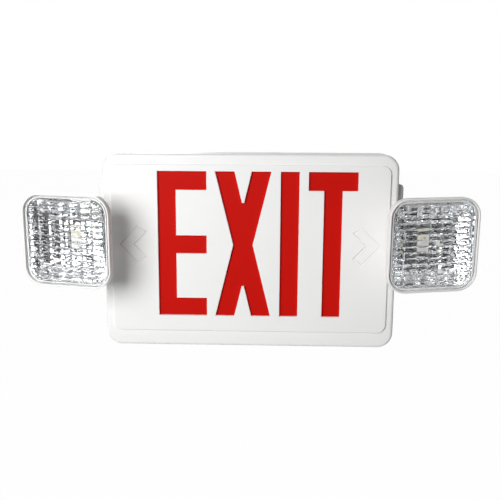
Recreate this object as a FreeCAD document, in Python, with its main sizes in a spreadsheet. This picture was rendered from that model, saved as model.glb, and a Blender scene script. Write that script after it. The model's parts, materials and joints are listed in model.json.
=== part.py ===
import FreeCAD, Part
import math
import os
import Sketcher
from FreeCAD import Placement, Rotation, Vector

# Emergency exit light for a wall: a moulded back housing with a snap-on face plate, a red
# diffuser lit by two LED strips, the charger, battery and test switch inside, and two square
# lamp heads. Each head tilts on a collar in the housing's side and pans on a knuckle.
#
# Frame: the origin is the centre of the wire entry in the back face, which lies on the wall.
# +X runs to the right and +Z up, and the face looks along -Y.

SIZES = {
    # Case, seen from the front
    "case_width": 305.0,
    "case_height": 204.0,
    "case_corner": 16.0,
    # Case, from the wall outwards
    "tray_depth": 32.0,
    "flange_front": 43.8,
    "panel_rise": 2.2,
    "wall": 2.5,
    "cover_wall": 2.7,
    "flange_round": 3.5,
    "back_round": 1.5,
    # Step where the face plate's skirt fits round the tray
    "lip_height": 3.0,
    "lip_thickness": 1.2,
    "lip_clearance": 0.15,
    # Raised panel of the face plate
    "panel_width": 288.0,
    "panel_height": 176.0,
    "panel_corner": 9.0,
    "panel_lift": 3.0,
    "panel_round": 0.8,
    # Snap tabs of the face plate and their windows in the tray
    "tab_spacing": 180.0,
    "tab_width": 12.0,
    "tab_thickness": 1.6,
    "tab_length": 16.0,
    "tab_hook": 1.6,
    "tab_hook_height": 3.0,
    "tab_clearance": 0.3,
    # Red diffuser and the posts that hold it
    "diffuser_width": 272.0,
    "diffuser_height": 164.0,
    "diffuser_corner": 6.0,
    "diffuser_thickness": 1.5,
    "stake_radius": 1.5,
    "stake_cap_radius": 2.6,
    "stake_cap_height": 0.8,
    "stake_inset": 4.5,
    "stake_clearance": 0.2,
    # Holes in the back
    "wire_entry_radius": 11.1,
    "box_screw_spacing": 88.9,
    "box_screw_radius": 2.4,
    "wall_slot_spacing": 200.0,
    "wall_slot_length": 12.0,
    "wall_slot_radius": 2.5,
    # Side pads that carry the lamp heads
    "pad_back": 2.0,
    "pad_depth": 26.0,
    "pad_height": 104.5,
    "pad_corner": 5.0,
    "pad_reach": 8.0,
    "pad_wall": 4.5,
    "pad_round": 3.5,
    "swivel_height": 18.3,
    # Swivel of a lamp head: a hollow spigot that turns in the pad
    "spigot_radius": 8.0,
    "spigot_clearance": 0.08,
    "lead_bore_radius": 3.5,
    "collar_radius": 12.0,
    "collar_thickness": 4.25,
    "collar_gap": 0.15,
    "washer_thickness": 0.8,
    "washer_radius": 9.8,
    "ring_thickness": 1.2,
    "ring_groove": 0.8,
    "spigot_end": 1.5,
    # Knuckle between the arm and a lamp head
    "hinge_reach": 10.0,
    "hinge_forward": 19.0,
    "tongue_radius": 7.7,
    "tongue_thickness": 10.0,
    "ear_thickness": 4.0,
    "ear_radius": 8.0,
    "ear_gap": 0.15,
    "fork_throat": 10.0,
    "hinge_screw_radius": 2.0,
    "hinge_clearance": 0.08,
    "screw_head_radius": 3.6,
    "screw_head_height": 2.4,
    "nut_flats": 7.0,
    "nut_height": 3.2,
    # Where the heads are aimed, in degrees
    "left_tilt": 1.4,
    "right_tilt": 1.8,
    "left_pan": 11.9,
    "right_pan": 12.6,
    # Lamp head shell
    "head_size": 94.0,
    "head_corner": 19.3,
    "head_depth": 28.0,
    "head_to_hinge": 52.0,
    "bowl_taper": 18.0,
    "bowl_taper_depth": 20.0,
    "bowl_round": 7.0,
    "hollow_taper": 15.2,
    "hollow_taper_depth": 17.0,
    "head_lip": 2.0,
    "head_wall": 2.2,
    "head_ledge": 3.6,
    "rim_round": 0.8,
    # Lens
    "lens_recess": 0.9,
    "lens_thickness": 2.5,
    "lens_gap": 0.7,
    "field_margin": 2.8,
    "inner_margin": 1.0,
    "flute_columns": 7,
    "flute_rise": 0.8,
    "flute_rows": 14,
    "row_rise": 0.8,
    "rib_web": 0.1,
    # Reflector and lamp board
    "reflector_wall": 1.0,
    "reflector_gap": 0.7,
    "reflector_taper": 13.8,
    "lamp_hole_radius": 10.5,
    "lamp_board_size": 27.0,
    "lamp_board_thickness": 1.2,
    "lamp_led_radius": 2.5,
    "lamp_led_height": 2.2,
    "lamp_led_circle": 6.0,
    "lamp_led_count": 3,
    # LED strips above and below the lettering
    "strip_length": 250.0,
    "strip_width": 9.0,
    "strip_thickness": 1.6,
    "strip_back": 21.0,
    "strip_rib": 3.0,
    "rib_thickness": 2.0,
    "rib_spacing": 55.0,
    "rib_count": 5,
    "strip_led_count": 10,
    "strip_led_spacing": 25.0,
    "strip_led_length": 3.5,
    "strip_led_width": 2.8,
    "strip_led_height": 1.2,
    # Circuit board, its posts and its screws
    "board_width": 110.0,
    "board_height": 56.0,
    "board_thickness": 1.6,
    "board_across": -75.0,
    "board_above_edge": 57.0,
    "post_height": 6.0,
    "post_radius": 3.5,
    "post_inset": 5.0,
    "pilot_radius": 1.25,
    "screw_radius": 1.2,
    "screw_length": 5.0,
    "small_head_radius": 2.8,
    "small_head_height": 1.8,
    "screw_passage": 1.5,
    # Pieces on the circuit board
    "relay_length": 20.0,
    "relay_width": 11.0,
    "relay_height": 15.0,
    "relay_across": 30.0,
    "relay_up": 12.0,
    "capacitor_radius": 5.0,
    "capacitor_height": 20.0,
    "capacitor_spacing": 13.0,
    "capacitor_across": -6.0,
    "capacitor_up": 10.0,
    "terminal_length": 24.0,
    "terminal_width": 9.0,
    "terminal_height": 11.0,
    "terminal_across": -32.0,
    "terminal_up": -15.0,
    "terminal_ways": 4,
    # Transformer, screwed to the back
    "transformer_across": -90.0,
    "transformer_below_edge": 50.0,
    "core_width": 42.0,
    "core_height": 14.0,
    "core_depth": 29.0,
    "coil_width": 26.0,
    "coil_height": 30.0,
    "coil_depth": 21.0,
    "coil_round": 3.0,
    "foot_width": 58.0,
    "foot_height": 12.0,
    "foot_thickness": 1.2,
    "foot_screw_spacing": 50.0,
    # Battery pack and its strap
    "battery_length": 50.0,
    "cell_diameter": 14.5,
    "cell_count": 3,
    "battery_across": 70.0,
    "battery_above_edge": 52.0,
    "strap_width": 12.0,
    "strap_thickness": 1.0,
    "strap_foot": 9.0,
    "strap_gap": 0.3,
    # Test switch, test button and charge light in the underside
    "test_board_width": 40.0,
    "test_board_depth": 13.0,
    "test_board_thickness": 1.6,
    "test_board_height": 8.0,
    "test_across": 110.0,
    "test_back": 12.5,
    "test_spacing": 18.0,
    "test_post_spacing": 36.0,
    "test_post_width": 4.0,
    "switch_size": 6.0,
    "switch_height": 3.8,
    "plunger_radius": 1.7,
    "plunger_height": 0.6,
    "button_radius": 4.0,
    "button_clearance": 0.1,
    "button_proud": 1.2,
    "button_flange_radius": 5.5,
    "button_flange": 1.2,
    "button_seat": 0.05,
    "button_stem_radius": 2.0,
    "button_travel": 1.0,
    "button_free_play": 0.1,
    "status_led_radius": 2.5,
    "status_led_proud": 1.5,
    "status_led_height": 8.6,
    "status_led_flange_radius": 2.9,
    "status_led_flange": 1.0,
    "status_led_leg": 0.5,
}

PARTS_FOLDER = "parts"
OVERCUT = 1.0

doc = FreeCAD.newDocument("exit_light")


# ---------------------------------------------------------------- sizes and their sheet


def as_size(value):
    return value if isinstance(value, Size) else Size(float(value), str(value))


class Size:
    """A number together with the spreadsheet expression that gives it."""

    def __init__(self, number, formula):
        self.number = number
        self.formula = formula

    def __float__(self):
        return self.number

    def __add__(self, other):
        other = as_size(other)
        return Size(self.number + other.number, f"({self.formula} + {other.formula})")

    def __sub__(self, other):
        other = as_size(other)
        return Size(self.number - other.number, f"({self.formula} - {other.formula})")

    def __mul__(self, other):
        other = as_size(other)
        return Size(self.number * other.number, f"({self.formula} * {other.formula})")

    def __truediv__(self, other):
        other = as_size(other)
        return Size(self.number / other.number, f"({self.formula} / {other.formula})")

    def __radd__(self, other):
        return as_size(other) + self

    def __rsub__(self, other):
        return as_size(other) - self

    def __rmul__(self, other):
        return as_size(other) * self

    def __neg__(self):
        return 0 - self


class Sheet:
    """The driving dimensions: each alias of the spreadsheet read as a Size."""

    def __init__(self, sizes):
        cells = doc.addObject("Spreadsheet::Sheet", "Sizes")
        for row, (alias, number) in enumerate(sizes.items(), start=1):
            cells.set(f"A{row}", alias)
            cells.set(f"B{row}", str(number))
            cells.setAlias(f"B{row}", alias)
            setattr(self, alias, Size(float(number), f"Sizes.{alias}"))
        doc.recompute()


s = Sheet(SIZES)

# Places that several pieces share, as distances in front of the wall or from the case's centre
panel_front = s.flange_front + s.panel_rise
panel_back = panel_front - s.cover_wall
parting = s.tray_depth - s.lip_height
half_width = s.case_width / 2
half_height = s.case_height / 2
floor_inside = s.wall
side_inside = half_height - s.wall
swivel_back = s.pad_back + s.pad_depth / 2
pad_face = half_width + s.pad_reach
pad_inside = pad_face - s.pad_wall
hinge_across = pad_face + s.hinge_reach
ear_inside = s.tongue_thickness / 2 + s.ear_gap
ear_outside = ear_inside + s.ear_thickness
hinge_bore = s.hinge_screw_radius + s.hinge_clearance
head_back = s.head_to_hinge - s.head_depth
shell_floor = head_back + s.head_wall
lens_back = s.head_to_hinge - s.lens_recess - s.lens_thickness
ledge = lens_back - s.reflector_wall
reflector_back = shell_floor + s.lamp_board_thickness
board_back = floor_inside + s.post_height
board_front = board_back + s.board_thickness
board_up = s.board_above_edge - half_height
transformer_up = half_height - s.transformer_below_edge
battery_up = s.battery_above_edge - half_height
test_board_low = s.test_board_height - side_inside
button_across = s.test_across - s.test_spacing / 2
status_across = s.test_across + s.test_spacing / 2


# ---------------------------------------------------------------- drawing helpers


def bind(thing, prop, value):
    """Ties a property of a document object to the spreadsheet."""
    thing.setExpression(prop, as_size(value).formula)


def constrain(sketch, value, *constraint):
    """Adds a dimension to a sketch and ties it to the spreadsheet."""
    index = sketch.addConstraint(Sketcher.Constraint(*constraint, float(value)))
    bind(sketch, f"Constraints[{index}]", value)


def new_body(label):
    body = doc.addObject("PartDesign::Body", label)
    body.Label = label
    return body


def new_sketch(body, name, plane, at=(0, 0, 0)):
    """A sketch on an origin plane of the body, moved to 'at' along the plane's own axes.

    On XZ_Plane the third number is a distance towards the front, because its normal is -Y.
    """
    sketch = body.newObject("Sketcher::SketchObject", name)
    support = next(item for item in body.Origin.OriginFeatures if item.Role == plane)
    sketch.AttachmentSupport = [(support, "")]
    sketch.MapMode = "FlatFace"
    for axis, distance in zip("xyz", at):
        bind(sketch, f"AttachmentOffset.Base.{axis}", distance)
    return sketch


def draw_circle(sketch, radius, across=0, up=0):
    circle = Part.Circle(Vector(float(across), float(up), 0), Vector(0, 0, 1), float(radius))
    index = sketch.addGeometry(circle)
    constrain(sketch, radius, "Radius", index)
    constrain(sketch, across, "DistanceX", -1, 1, index, 3)
    constrain(sketch, up, "DistanceY", -1, 1, index, 3)


def draw_polygon(sketch, corners):
    """A closed polygon whose corners are pairs of sizes."""
    points = [Vector(float(across), float(up), 0) for across, up in corners]
    first = sketch.GeometryCount
    count = len(points)
    for index, point in enumerate(points):
        sketch.addGeometry(Part.LineSegment(point, points[(index + 1) % count]))
    for index, (across, up) in enumerate(corners):
        line = first + index
        following = first + (index + 1) % count
        sketch.addConstraint(Sketcher.Constraint("Coincident", line, 2, following, 1))
        constrain(sketch, across, "DistanceX", -1, 1, line, 1)
        constrain(sketch, up, "DistanceY", -1, 1, line, 1)


def draw_rectangle(sketch, width, height, across=0, up=0):
    left, right = across - width / 2, across + width / 2
    low, high = up - height / 2, up + height / 2
    draw_polygon(sketch, [(left, low), (right, low), (right, high), (left, high)])


def draw_rounded_rectangle(sketch, width, height, radius):
    """A rectangle about the sketch's origin, with equal round corners."""
    across, up, r = float(width) / 2, float(height) / 2, float(radius)
    first = sketch.GeometryCount
    centres = [(across - r, up - r), (r - across, up - r), (r - across, r - up), (across - r, r - up)]
    arcs = []
    for quarter, (x, y) in enumerate(centres):
        circle = Part.Circle(Vector(x, y, 0), Vector(0, 0, 1), r)
        start = quarter * math.pi / 2
        arcs.append(Part.ArcOfCircle(circle, start, start + math.pi / 2))
    for arc in arcs:
        sketch.addGeometry(arc)
    for quarter, arc in enumerate(arcs):
        sketch.addGeometry(Part.LineSegment(arc.EndPoint, arcs[(quarter + 1) % 4].StartPoint))
    for quarter, direction in enumerate(("Horizontal", "Vertical", "Horizontal", "Vertical")):
        line = first + 4 + quarter
        following = first + (quarter + 1) % 4
        sketch.addConstraint(Sketcher.Constraint("Tangent", first + quarter, 2, line, 1))
        sketch.addConstraint(Sketcher.Constraint("Tangent", line, 2, following, 1))
        sketch.addConstraint(Sketcher.Constraint(direction, line))
    for quarter in (1, 2, 3):
        sketch.addConstraint(Sketcher.Constraint("Equal", first, first + quarter))
    top, left, bottom, right = range(first + 4, first + 8)
    sketch.addConstraint(Sketcher.Constraint("Symmetric", top, 1, bottom, 1, -1, 1))
    constrain(sketch, radius, "Radius", first)
    constrain(sketch, width, "DistanceX", left, 1, right, 1)
    constrain(sketch, height, "DistanceY", bottom, 1, top, 1)


def draw_tombstone(sketch, radius, length):
    """A strip with a round end about the sketch's origin, running 'length' down from it."""
    r, low = float(radius), -float(length)
    circle = Part.Circle(Vector(0, 0, 0), Vector(0, 0, 1), r)
    arc = sketch.addGeometry(Part.ArcOfCircle(circle, 0, math.pi))
    left = sketch.addGeometry(Part.LineSegment(Vector(-r, 0, 0), Vector(-r, low, 0)))
    end = sketch.addGeometry(Part.LineSegment(Vector(-r, low, 0), Vector(r, low, 0)))
    right = sketch.addGeometry(Part.LineSegment(Vector(r, low, 0), Vector(r, 0, 0)))
    sketch.addConstraint(Sketcher.Constraint("Coincident", arc, 3, -1, 1))
    sketch.addConstraint(Sketcher.Constraint("Tangent", arc, 2, left, 1))
    sketch.addConstraint(Sketcher.Constraint("Coincident", left, 2, end, 1))
    sketch.addConstraint(Sketcher.Constraint("Coincident", end, 2, right, 1))
    sketch.addConstraint(Sketcher.Constraint("Tangent", right, 2, arc, 1))
    sketch.addConstraint(Sketcher.Constraint("Horizontal", end))
    sketch.addConstraint(Sketcher.Constraint("Vertical", left))
    constrain(sketch, radius, "Radius", arc)
    constrain(sketch, length, "DistanceY", left, 2, left, 1)


def draw_valley(sketch, pitch, rise):
    """What is cut away over one rib of a lens: all that lies above an arc of 'rise' over 'pitch'."""
    half, top = float(pitch) / 2, float(rise) + OVERCUT
    left, right = Vector(-half, 0, 0), Vector(half, 0, 0)
    arc = sketch.addGeometry(Part.Arc(right, Vector(0, float(rise), 0), left))
    side = sketch.addGeometry(Part.LineSegment(left, Vector(-half, top, 0)))
    lid = sketch.addGeometry(Part.LineSegment(Vector(-half, top, 0), Vector(half, top, 0)))
    back = sketch.addGeometry(Part.LineSegment(Vector(half, top, 0), right))
    sketch.addConstraint(Sketcher.Constraint("Coincident", arc, 2, side, 1))
    sketch.addConstraint(Sketcher.Constraint("Coincident", side, 2, lid, 1))
    sketch.addConstraint(Sketcher.Constraint("Coincident", lid, 2, back, 1))
    sketch.addConstraint(Sketcher.Constraint("Coincident", back, 2, arc, 1))
    sketch.addConstraint(Sketcher.Constraint("Vertical", side))
    sketch.addConstraint(Sketcher.Constraint("Vertical", back))
    sketch.addConstraint(Sketcher.Constraint("Horizontal", lid))
    sketch.addConstraint(Sketcher.Constraint("Symmetric", arc, 2, arc, 1, -1, 1))
    constrain(sketch, pitch, "DistanceX", lid, 1, lid, 2)
    constrain(sketch, rise + OVERCUT, "DistanceY", side, 1, side, 2)
    constrain(sketch, (pitch * pitch / 4 + rise * rise) / (2 * rise), "Radius", arc)


def add_feature(body, kind, name):
    feature = body.newObject(f"PartDesign::{kind}", name)
    body.Tip = feature
    return feature


def pad(body, sketch, length, midplane=False, reverse=False):
    feature = add_feature(body, "Pad", f"{sketch.Name}Pad")
    feature.Profile = sketch
    feature.Midplane = midplane
    feature.Reversed = reverse
    bind(feature, "Length", length)
    return feature


def pocket(body, sketch, length, midplane=False, reverse=False):
    """Cuts a sketch into the body, and stops if the cut takes nothing away."""
    doc.recompute()
    before = body.Shape.Volume
    feature = add_feature(body, "Pocket", f"{sketch.Name}Pocket")
    feature.Profile = sketch
    feature.Midplane = midplane
    feature.Reversed = reverse
    bind(feature, "Length", length)
    doc.recompute()
    if not body.Shape.Volume < before:
        raise RuntimeError(f"{feature.Name} cuts nothing")
    return feature


def fillet(body, radius, chosen):
    """Rounds the edges of the body that 'chosen' picks."""
    doc.recompute()
    base = body.Tip
    names = [f"Edge{number}" for number, edge in enumerate(base.Shape.Edges, 1) if chosen(edge)]
    feature = add_feature(body, "Fillet", f"{base.Name}Fillet")
    feature.Base = (base, names)
    bind(feature, "Radius", radius)
    doc.recompute()
    return feature


def bevel(body, across, along, chosen):
    """Slopes the sides next to the edges that 'chosen' picks: 'across' on their flat, 'along' up their sides."""
    doc.recompute()
    base = body.Tip
    names = [f"Edge{number}" for number, edge in enumerate(base.Shape.Edges, 1) if chosen(edge)]
    feature = add_feature(body, "Chamfer", f"{base.Name}Bevel")
    feature.Base = (base, names)
    feature.ChamferType = "Two distances"
    bind(feature, "Size", along)
    bind(feature, "Size2", across)
    doc.recompute()
    return feature


def repeat(body, feature, axis, spacing, count):
    """A row of copies of a feature along an origin axis of the body."""
    direction = next(item for item in body.Origin.OriginFeatures if item.Role == axis)
    pattern = add_feature(body, "LinearPattern", f"{feature.Name}Row")
    pattern.Originals = [feature]
    pattern.Direction = (direction, [""])
    bind(pattern, "Length", spacing * (count - 1))
    bind(pattern, "Occurrences", count)
    return pattern


def lies_at(edge, axis, place, tolerance=0.01):
    """Whether all of an edge lies at one place along an axis of the body."""
    low = getattr(edge.BoundBox, f"{axis}Min")
    high = getattr(edge.BoundBox, f"{axis}Max")
    return abs(low - float(place)) < tolerance and abs(high - float(place)) < tolerance


def box(name, across, along, up):
    """A block between three pairs of sizes, along X, Y and Z."""
    block = doc.addObject("Part::Box", name)
    for prop, axis, (low, high) in zip(("Length", "Width", "Height"), "xyz", (across, along, up)):
        bind(block, prop, high - low)
        bind(block, f"Placement.Base.{axis}", low)
    return block


AXIS_TURNS = {
    "x": Rotation(Vector(0, 1, 0), 90),
    "y": Rotation(Vector(1, 0, 0), -90),
    "z": Rotation(),
}


def cylinder(name, axis, radius, start, length):
    """A cylinder from the point 'start' along +X, +Y or +Z."""
    rod = doc.addObject("Part::Cylinder", name)
    rod.Placement = Placement(Vector(), AXIS_TURNS[axis])
    bind(rod, "Radius", radius)
    bind(rod, "Height", length)
    for letter, place in zip("xyz", start):
        bind(rod, f"Placement.Base.{letter}", place)
    return rod


def fuse(label, pieces):
    whole = doc.addObject("Part::MultiFuse", label)
    whole.Label = label
    whole.Shapes = pieces
    return whole


def group(label, pieces):
    """Separate solids that share one node, such as a set of screws."""
    whole = doc.addObject("Part::Compound", label)
    whole.Label = label
    whole.Links = pieces
    return whole


def cut(label, base, tool):
    rest = doc.addObject("Part::Cut", label)
    rest.Label = label
    rest.Base = base
    rest.Tool = tool
    return rest


# ---------------------------------------------------------------- back housing


def board_post_places():
    """Centres of the circuit board's four posts."""
    across = s.board_width / 2 - s.post_inset
    up = s.board_height / 2 - s.post_inset
    return [(s.board_across + i * across, board_up + j * up) for i in (-1, 1) for j in (-1, 1)]


def strap_post_places():
    """Centres of the two posts that the battery strap is screwed to."""
    reach = (s.cell_diameter * s.cell_count + s.strap_foot) / 2 + s.strap_gap + s.strap_thickness
    return [(s.battery_across, battery_up + side * reach) for side in (-1, 1)]


def foot_post_places():
    """Centres of the two posts that the transformer is screwed to."""
    return [(s.transformer_across + side * s.foot_screw_spacing / 2, transformer_up) for side in (-1, 1)]


def draw_case_outline(sketch, inset=0):
    """The case's outline seen from the front, drawn in from the outside by 'inset'."""
    draw_rounded_rectangle(sketch, s.case_width - 2 * inset, s.case_height - 2 * inset, s.case_corner - inset)


def build_back_housing():
    body = new_body("HousingShell")
    outline = new_sketch(body, "HousingOutline", "XZ_Plane")
    draw_case_outline(outline)
    pad(body, outline, s.tray_depth)
    fillet(body, s.back_round, lambda edge: lies_at(edge, "Y", 0))

    pads = new_sketch(body, "SidePads", "YZ_Plane", at=(-swivel_back, s.swivel_height, 0))
    draw_rounded_rectangle(pads, s.pad_depth, s.pad_height, s.pad_corner)
    pad(body, pads, 2 * pad_face, midplane=True)
    fillet(body, s.pad_round, lambda edge: lies_at(edge, "X", pad_face) or lies_at(edge, "X", -pad_face))

    inside = new_sketch(body, "HousingInside", "XZ_Plane", at=(0, 0, s.tray_depth))
    draw_case_outline(inside, inset=s.wall)
    pocket(body, inside, s.tray_depth - s.wall)
    pads_inside = new_sketch(body, "PadsInside", "YZ_Plane", at=(-swivel_back, s.swivel_height, 0))
    draw_rounded_rectangle(
        pads_inside, s.pad_depth - 2 * s.wall, s.pad_height - 2 * s.wall, s.pad_corner - s.wall
    )
    pocket(body, pads_inside, 2 * pad_inside, midplane=True)

    step = new_sketch(body, "HousingStep", "XZ_Plane", at=(0, 0, s.tray_depth))
    draw_case_outline(step, inset=-OVERCUT)
    draw_case_outline(step, inset=s.wall - s.lip_thickness)
    pocket(body, step, s.lip_height)

    swivels = new_sketch(body, "SwivelBores", "YZ_Plane")
    draw_circle(swivels, s.spigot_radius + s.spigot_clearance, -swivel_back, s.swivel_height)
    pocket(body, swivels, 2 * (pad_face + OVERCUT), midplane=True)

    wall_holes = new_sketch(body, "WallHoles", "XZ_Plane")
    draw_circle(wall_holes, s.wire_entry_radius)
    for side in (-1, 1):
        draw_circle(wall_holes, s.box_screw_radius, side * s.box_screw_spacing / 2, 0)
    pocket(body, wall_holes, 2 * (s.wall + OVERCUT), midplane=True)
    for side in (-1, 1):
        slot = new_sketch(body, "WallSlot", "XZ_Plane", at=(side * s.wall_slot_spacing / 2, 0, 0))
        draw_slot(slot, s.wall_slot_length, s.wall_slot_radius)
        pocket(body, slot, 2 * (s.wall + OVERCUT), midplane=True)

    for side in (-1, 1):
        window = new_sketch(body, "TabWindow", "XY_Plane")
        draw_rectangle(
            window,
            s.tab_width + 2 * s.tab_clearance,
            s.tab_hook_height + 2 * s.tab_clearance,
            side * s.tab_spacing / 2,
            -hook_middle,
        )
        pocket(body, window, s.case_height + OVERCUT, midplane=True)

    underside = new_sketch(body, "UndersideHoles", "XY_Plane", at=(0, 0, -half_height))
    draw_circle(underside, s.button_radius + s.button_clearance, button_across, -s.test_back)
    draw_circle(underside, s.status_led_radius + s.button_clearance, status_across, -s.test_back)
    pocket(body, underside, 2 * (s.wall + OVERCUT), midplane=True)

    posts = new_sketch(body, "ScrewPosts", "XZ_Plane", at=(0, 0, floor_inside))
    for across, up in board_post_places() + strap_post_places() + foot_post_places():
        draw_circle(posts, s.post_radius, across, up)
        draw_circle(posts, s.pilot_radius, across, up)
    pad(body, posts, s.post_height)

    return fuse("back_housing", [body] + housing_ribs() + test_board_posts())


def draw_slot(sketch, length, radius):
    """A slot along the sketch's first axis, about its origin, 'length' from end to end."""
    r, reach = float(radius), float(length) / 2 - float(radius)
    normal = Vector(0, 0, 1)
    right = Part.ArcOfCircle(Part.Circle(Vector(reach, 0, 0), normal, r), -math.pi / 2, math.pi / 2)
    left = Part.ArcOfCircle(Part.Circle(Vector(-reach, 0, 0), normal, r), math.pi / 2, 3 * math.pi / 2)
    first = sketch.addGeometry(right)
    second = sketch.addGeometry(left)
    top = sketch.addGeometry(Part.LineSegment(right.EndPoint, left.StartPoint))
    bottom = sketch.addGeometry(Part.LineSegment(left.EndPoint, right.StartPoint))
    sketch.addConstraint(Sketcher.Constraint("Tangent", first, 2, top, 1))
    sketch.addConstraint(Sketcher.Constraint("Tangent", top, 2, second, 1))
    sketch.addConstraint(Sketcher.Constraint("Tangent", second, 2, bottom, 1))
    sketch.addConstraint(Sketcher.Constraint("Tangent", bottom, 2, first, 1))
    sketch.addConstraint(Sketcher.Constraint("Horizontal", top))
    sketch.addConstraint(Sketcher.Constraint("Symmetric", first, 3, second, 3, -1, 1))
    constrain(sketch, radius, "Radius", first)
    constrain(sketch, length - 2 * radius, "DistanceX", second, 3, first, 3)


def housing_ribs():
    """Ribs on the top and bottom walls that the LED strips sit on."""
    ribs = []
    for side in (-1, 1):
        up = sorted((side * (side_inside - s.strip_rib), side * (side_inside + s.wall / 2)), key=float)
        for index in range(int(SIZES["rib_count"])):
            middle = s.rib_spacing * (index - (s.rib_count - 1) / 2)
            across = (middle - s.rib_thickness / 2, middle + s.rib_thickness / 2)
            along = (-(s.strip_back + s.strip_width), -s.strip_back)
            ribs.append(box("StripRib", across, along, up))
    return ribs


def test_board_posts():
    """Two blocks on the bottom wall that carry the test switch's small board."""
    blocks = []
    for side in (-1, 1):
        middle = s.test_across + side * s.test_post_spacing / 2
        across = (middle - s.test_post_width / 2, middle + s.test_post_width / 2)
        along = (-(s.test_back + s.test_post_width / 2), s.test_post_width / 2 - s.test_back)
        blocks.append(box("TestPost", across, along, (-side_inside - s.wall / 2, test_board_low)))
    return blocks


# ---------------------------------------------------------------- face plate and diffuser

hook_front = s.flange_front - s.cover_wall - s.tab_length + s.tab_hook_height
hook_middle = hook_front - s.tab_hook_height / 2


def stake_places():
    """Centres of the posts on the face plate that hold the diffuser."""
    across = s.diffuser_width / 2 - s.stake_inset
    up = s.diffuser_height / 2 - s.stake_inset
    return [(i * across, s.panel_lift + j * up) for i in (-1, 0, 1) for j in (-1, 1)]


def draw_panel_outline(sketch, inset=0):
    draw_rounded_rectangle(
        sketch, s.panel_width - 2 * inset, s.panel_height - 2 * inset, s.panel_corner - inset
    )


def build_face_plate():
    body = new_body("FaceShell")
    flange = new_sketch(body, "FaceFlange", "XZ_Plane", at=(0, 0, parting))
    draw_case_outline(flange)
    pad(body, flange, s.flange_front - parting)
    fillet(body, s.flange_round, lambda edge: lies_at(edge, "Y", -s.flange_front))

    panel = new_sketch(body, "FacePanel", "XZ_Plane", at=(0, s.panel_lift, s.flange_front))
    draw_panel_outline(panel)
    pad(body, panel, s.panel_rise)
    fillet(body, s.panel_round, lambda edge: lies_at(edge, "Y", -panel_front))

    inside = new_sketch(body, "FaceInside", "XZ_Plane", at=(0, 0, s.flange_front - s.cover_wall))
    draw_case_outline(inside, inset=s.wall)
    pocket(body, inside, s.flange_front - s.cover_wall - parting + OVERCUT)
    behind = new_sketch(body, "PanelInside", "XZ_Plane", at=(0, s.panel_lift, panel_back))
    draw_panel_outline(behind, inset=s.cover_wall)
    pocket(body, behind, s.panel_rise + OVERCUT)
    relief = new_sketch(body, "SkirtRelief", "XZ_Plane", at=(0, 0, s.tray_depth + s.lip_clearance))
    draw_case_outline(relief, inset=s.wall - s.lip_thickness - s.lip_clearance)
    pocket(body, relief, s.lip_height + s.lip_clearance + OVERCUT)

    stakes = new_sketch(body, "DiffuserStakes", "XZ_Plane", at=(0, 0, panel_back))
    caps = new_sketch(
        body, "StakeCaps", "XZ_Plane", at=(0, 0, panel_back - s.diffuser_thickness)
    )
    for across, up in stake_places():
        draw_circle(stakes, s.stake_radius, across, up)
        draw_circle(caps, s.stake_cap_radius, across, up)
    pad(body, stakes, s.diffuser_thickness, reverse=True)
    pad(body, caps, s.stake_cap_height, reverse=True)
    return fuse("face_plate", [body] + snap_tabs())


def snap_tabs():
    """Tabs behind the flange whose hooks catch in the tray's windows."""
    tabs = []
    outside = side_inside - s.tab_clearance
    root = s.flange_front - s.cover_wall
    for side in (-1, 1):
        for hand in (-1, 1):
            middle = hand * s.tab_spacing / 2
            across = (middle - s.tab_width / 2, middle + s.tab_width / 2)
            blade = sorted((side * (outside - s.tab_thickness), side * outside), key=float)
            hook = sorted((side * (outside - s.tab_thickness), side * (outside + s.tab_hook)), key=float)
            tabs.append(box("TabBlade", across, (-root - s.cover_wall / 2, s.tab_length - root), blade))
            tabs.append(box("TabHook", across, (-hook_front, s.tab_hook_height - hook_front), hook))
    return tabs


def build_red_diffuser():
    body = new_body("red_diffuser")
    sheet = new_sketch(
        body, "DiffuserSheet", "XZ_Plane", at=(0, s.panel_lift, panel_back - s.diffuser_thickness)
    )
    draw_rounded_rectangle(sheet, s.diffuser_width, s.diffuser_height, s.diffuser_corner)
    pad(body, sheet, s.diffuser_thickness)
    holes = new_sketch(body, "StakeHoles", "XZ_Plane", at=(0, 0, panel_back))
    for across, up in stake_places():
        draw_circle(holes, s.stake_radius + s.stake_clearance, across, up)
    pocket(body, holes, s.diffuser_thickness + OVERCUT)
    return body


# ---------------------------------------------------------------- LED strips


def build_led_strip(label, side):
    """A strip board on its ribs, and its row of LEDs. side is 1 for the top, -1 for the bottom."""
    seat = side_inside - s.strip_rib
    face = seat - s.strip_thickness
    across = (-s.strip_length / 2, s.strip_length / 2)
    along = (-(s.strip_back + s.strip_width), -s.strip_back)
    board = box(f"{label}_strip", across, along, sorted((side * seat, side * face), key=float))
    board.Label = f"{label}_strip"
    leds = []
    middle = s.strip_back + s.strip_width / 2
    up = sorted((side * face, side * (face - s.strip_led_height)), key=float)
    for index in range(int(SIZES["strip_led_count"])):
        place = s.strip_led_spacing * (index - (s.strip_led_count - 1) / 2)
        across = (place - s.strip_led_length / 2, place + s.strip_led_length / 2)
        along = (-middle - s.strip_led_width / 2, s.strip_led_width / 2 - middle)
        leds.append(box("StripLed", across, along, up))
    return [board, group(f"{label}_strip_leds", leds)]


# ---------------------------------------------------------------- electronics


def build_screws(label, places, seat):
    """Small pan-head screws driven towards the wall, their heads on 'seat'."""
    screws = []
    for across, up in places:
        shaft = cylinder("Shaft", "y", s.screw_radius, (across, -seat, up), s.screw_length)
        head = cylinder(
            "Head", "y", s.small_head_radius, (across, -seat - s.small_head_height, up), s.small_head_height
        )
        screws.append(fuse("Screw", [shaft, head]))
    return group(label, screws)


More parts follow.
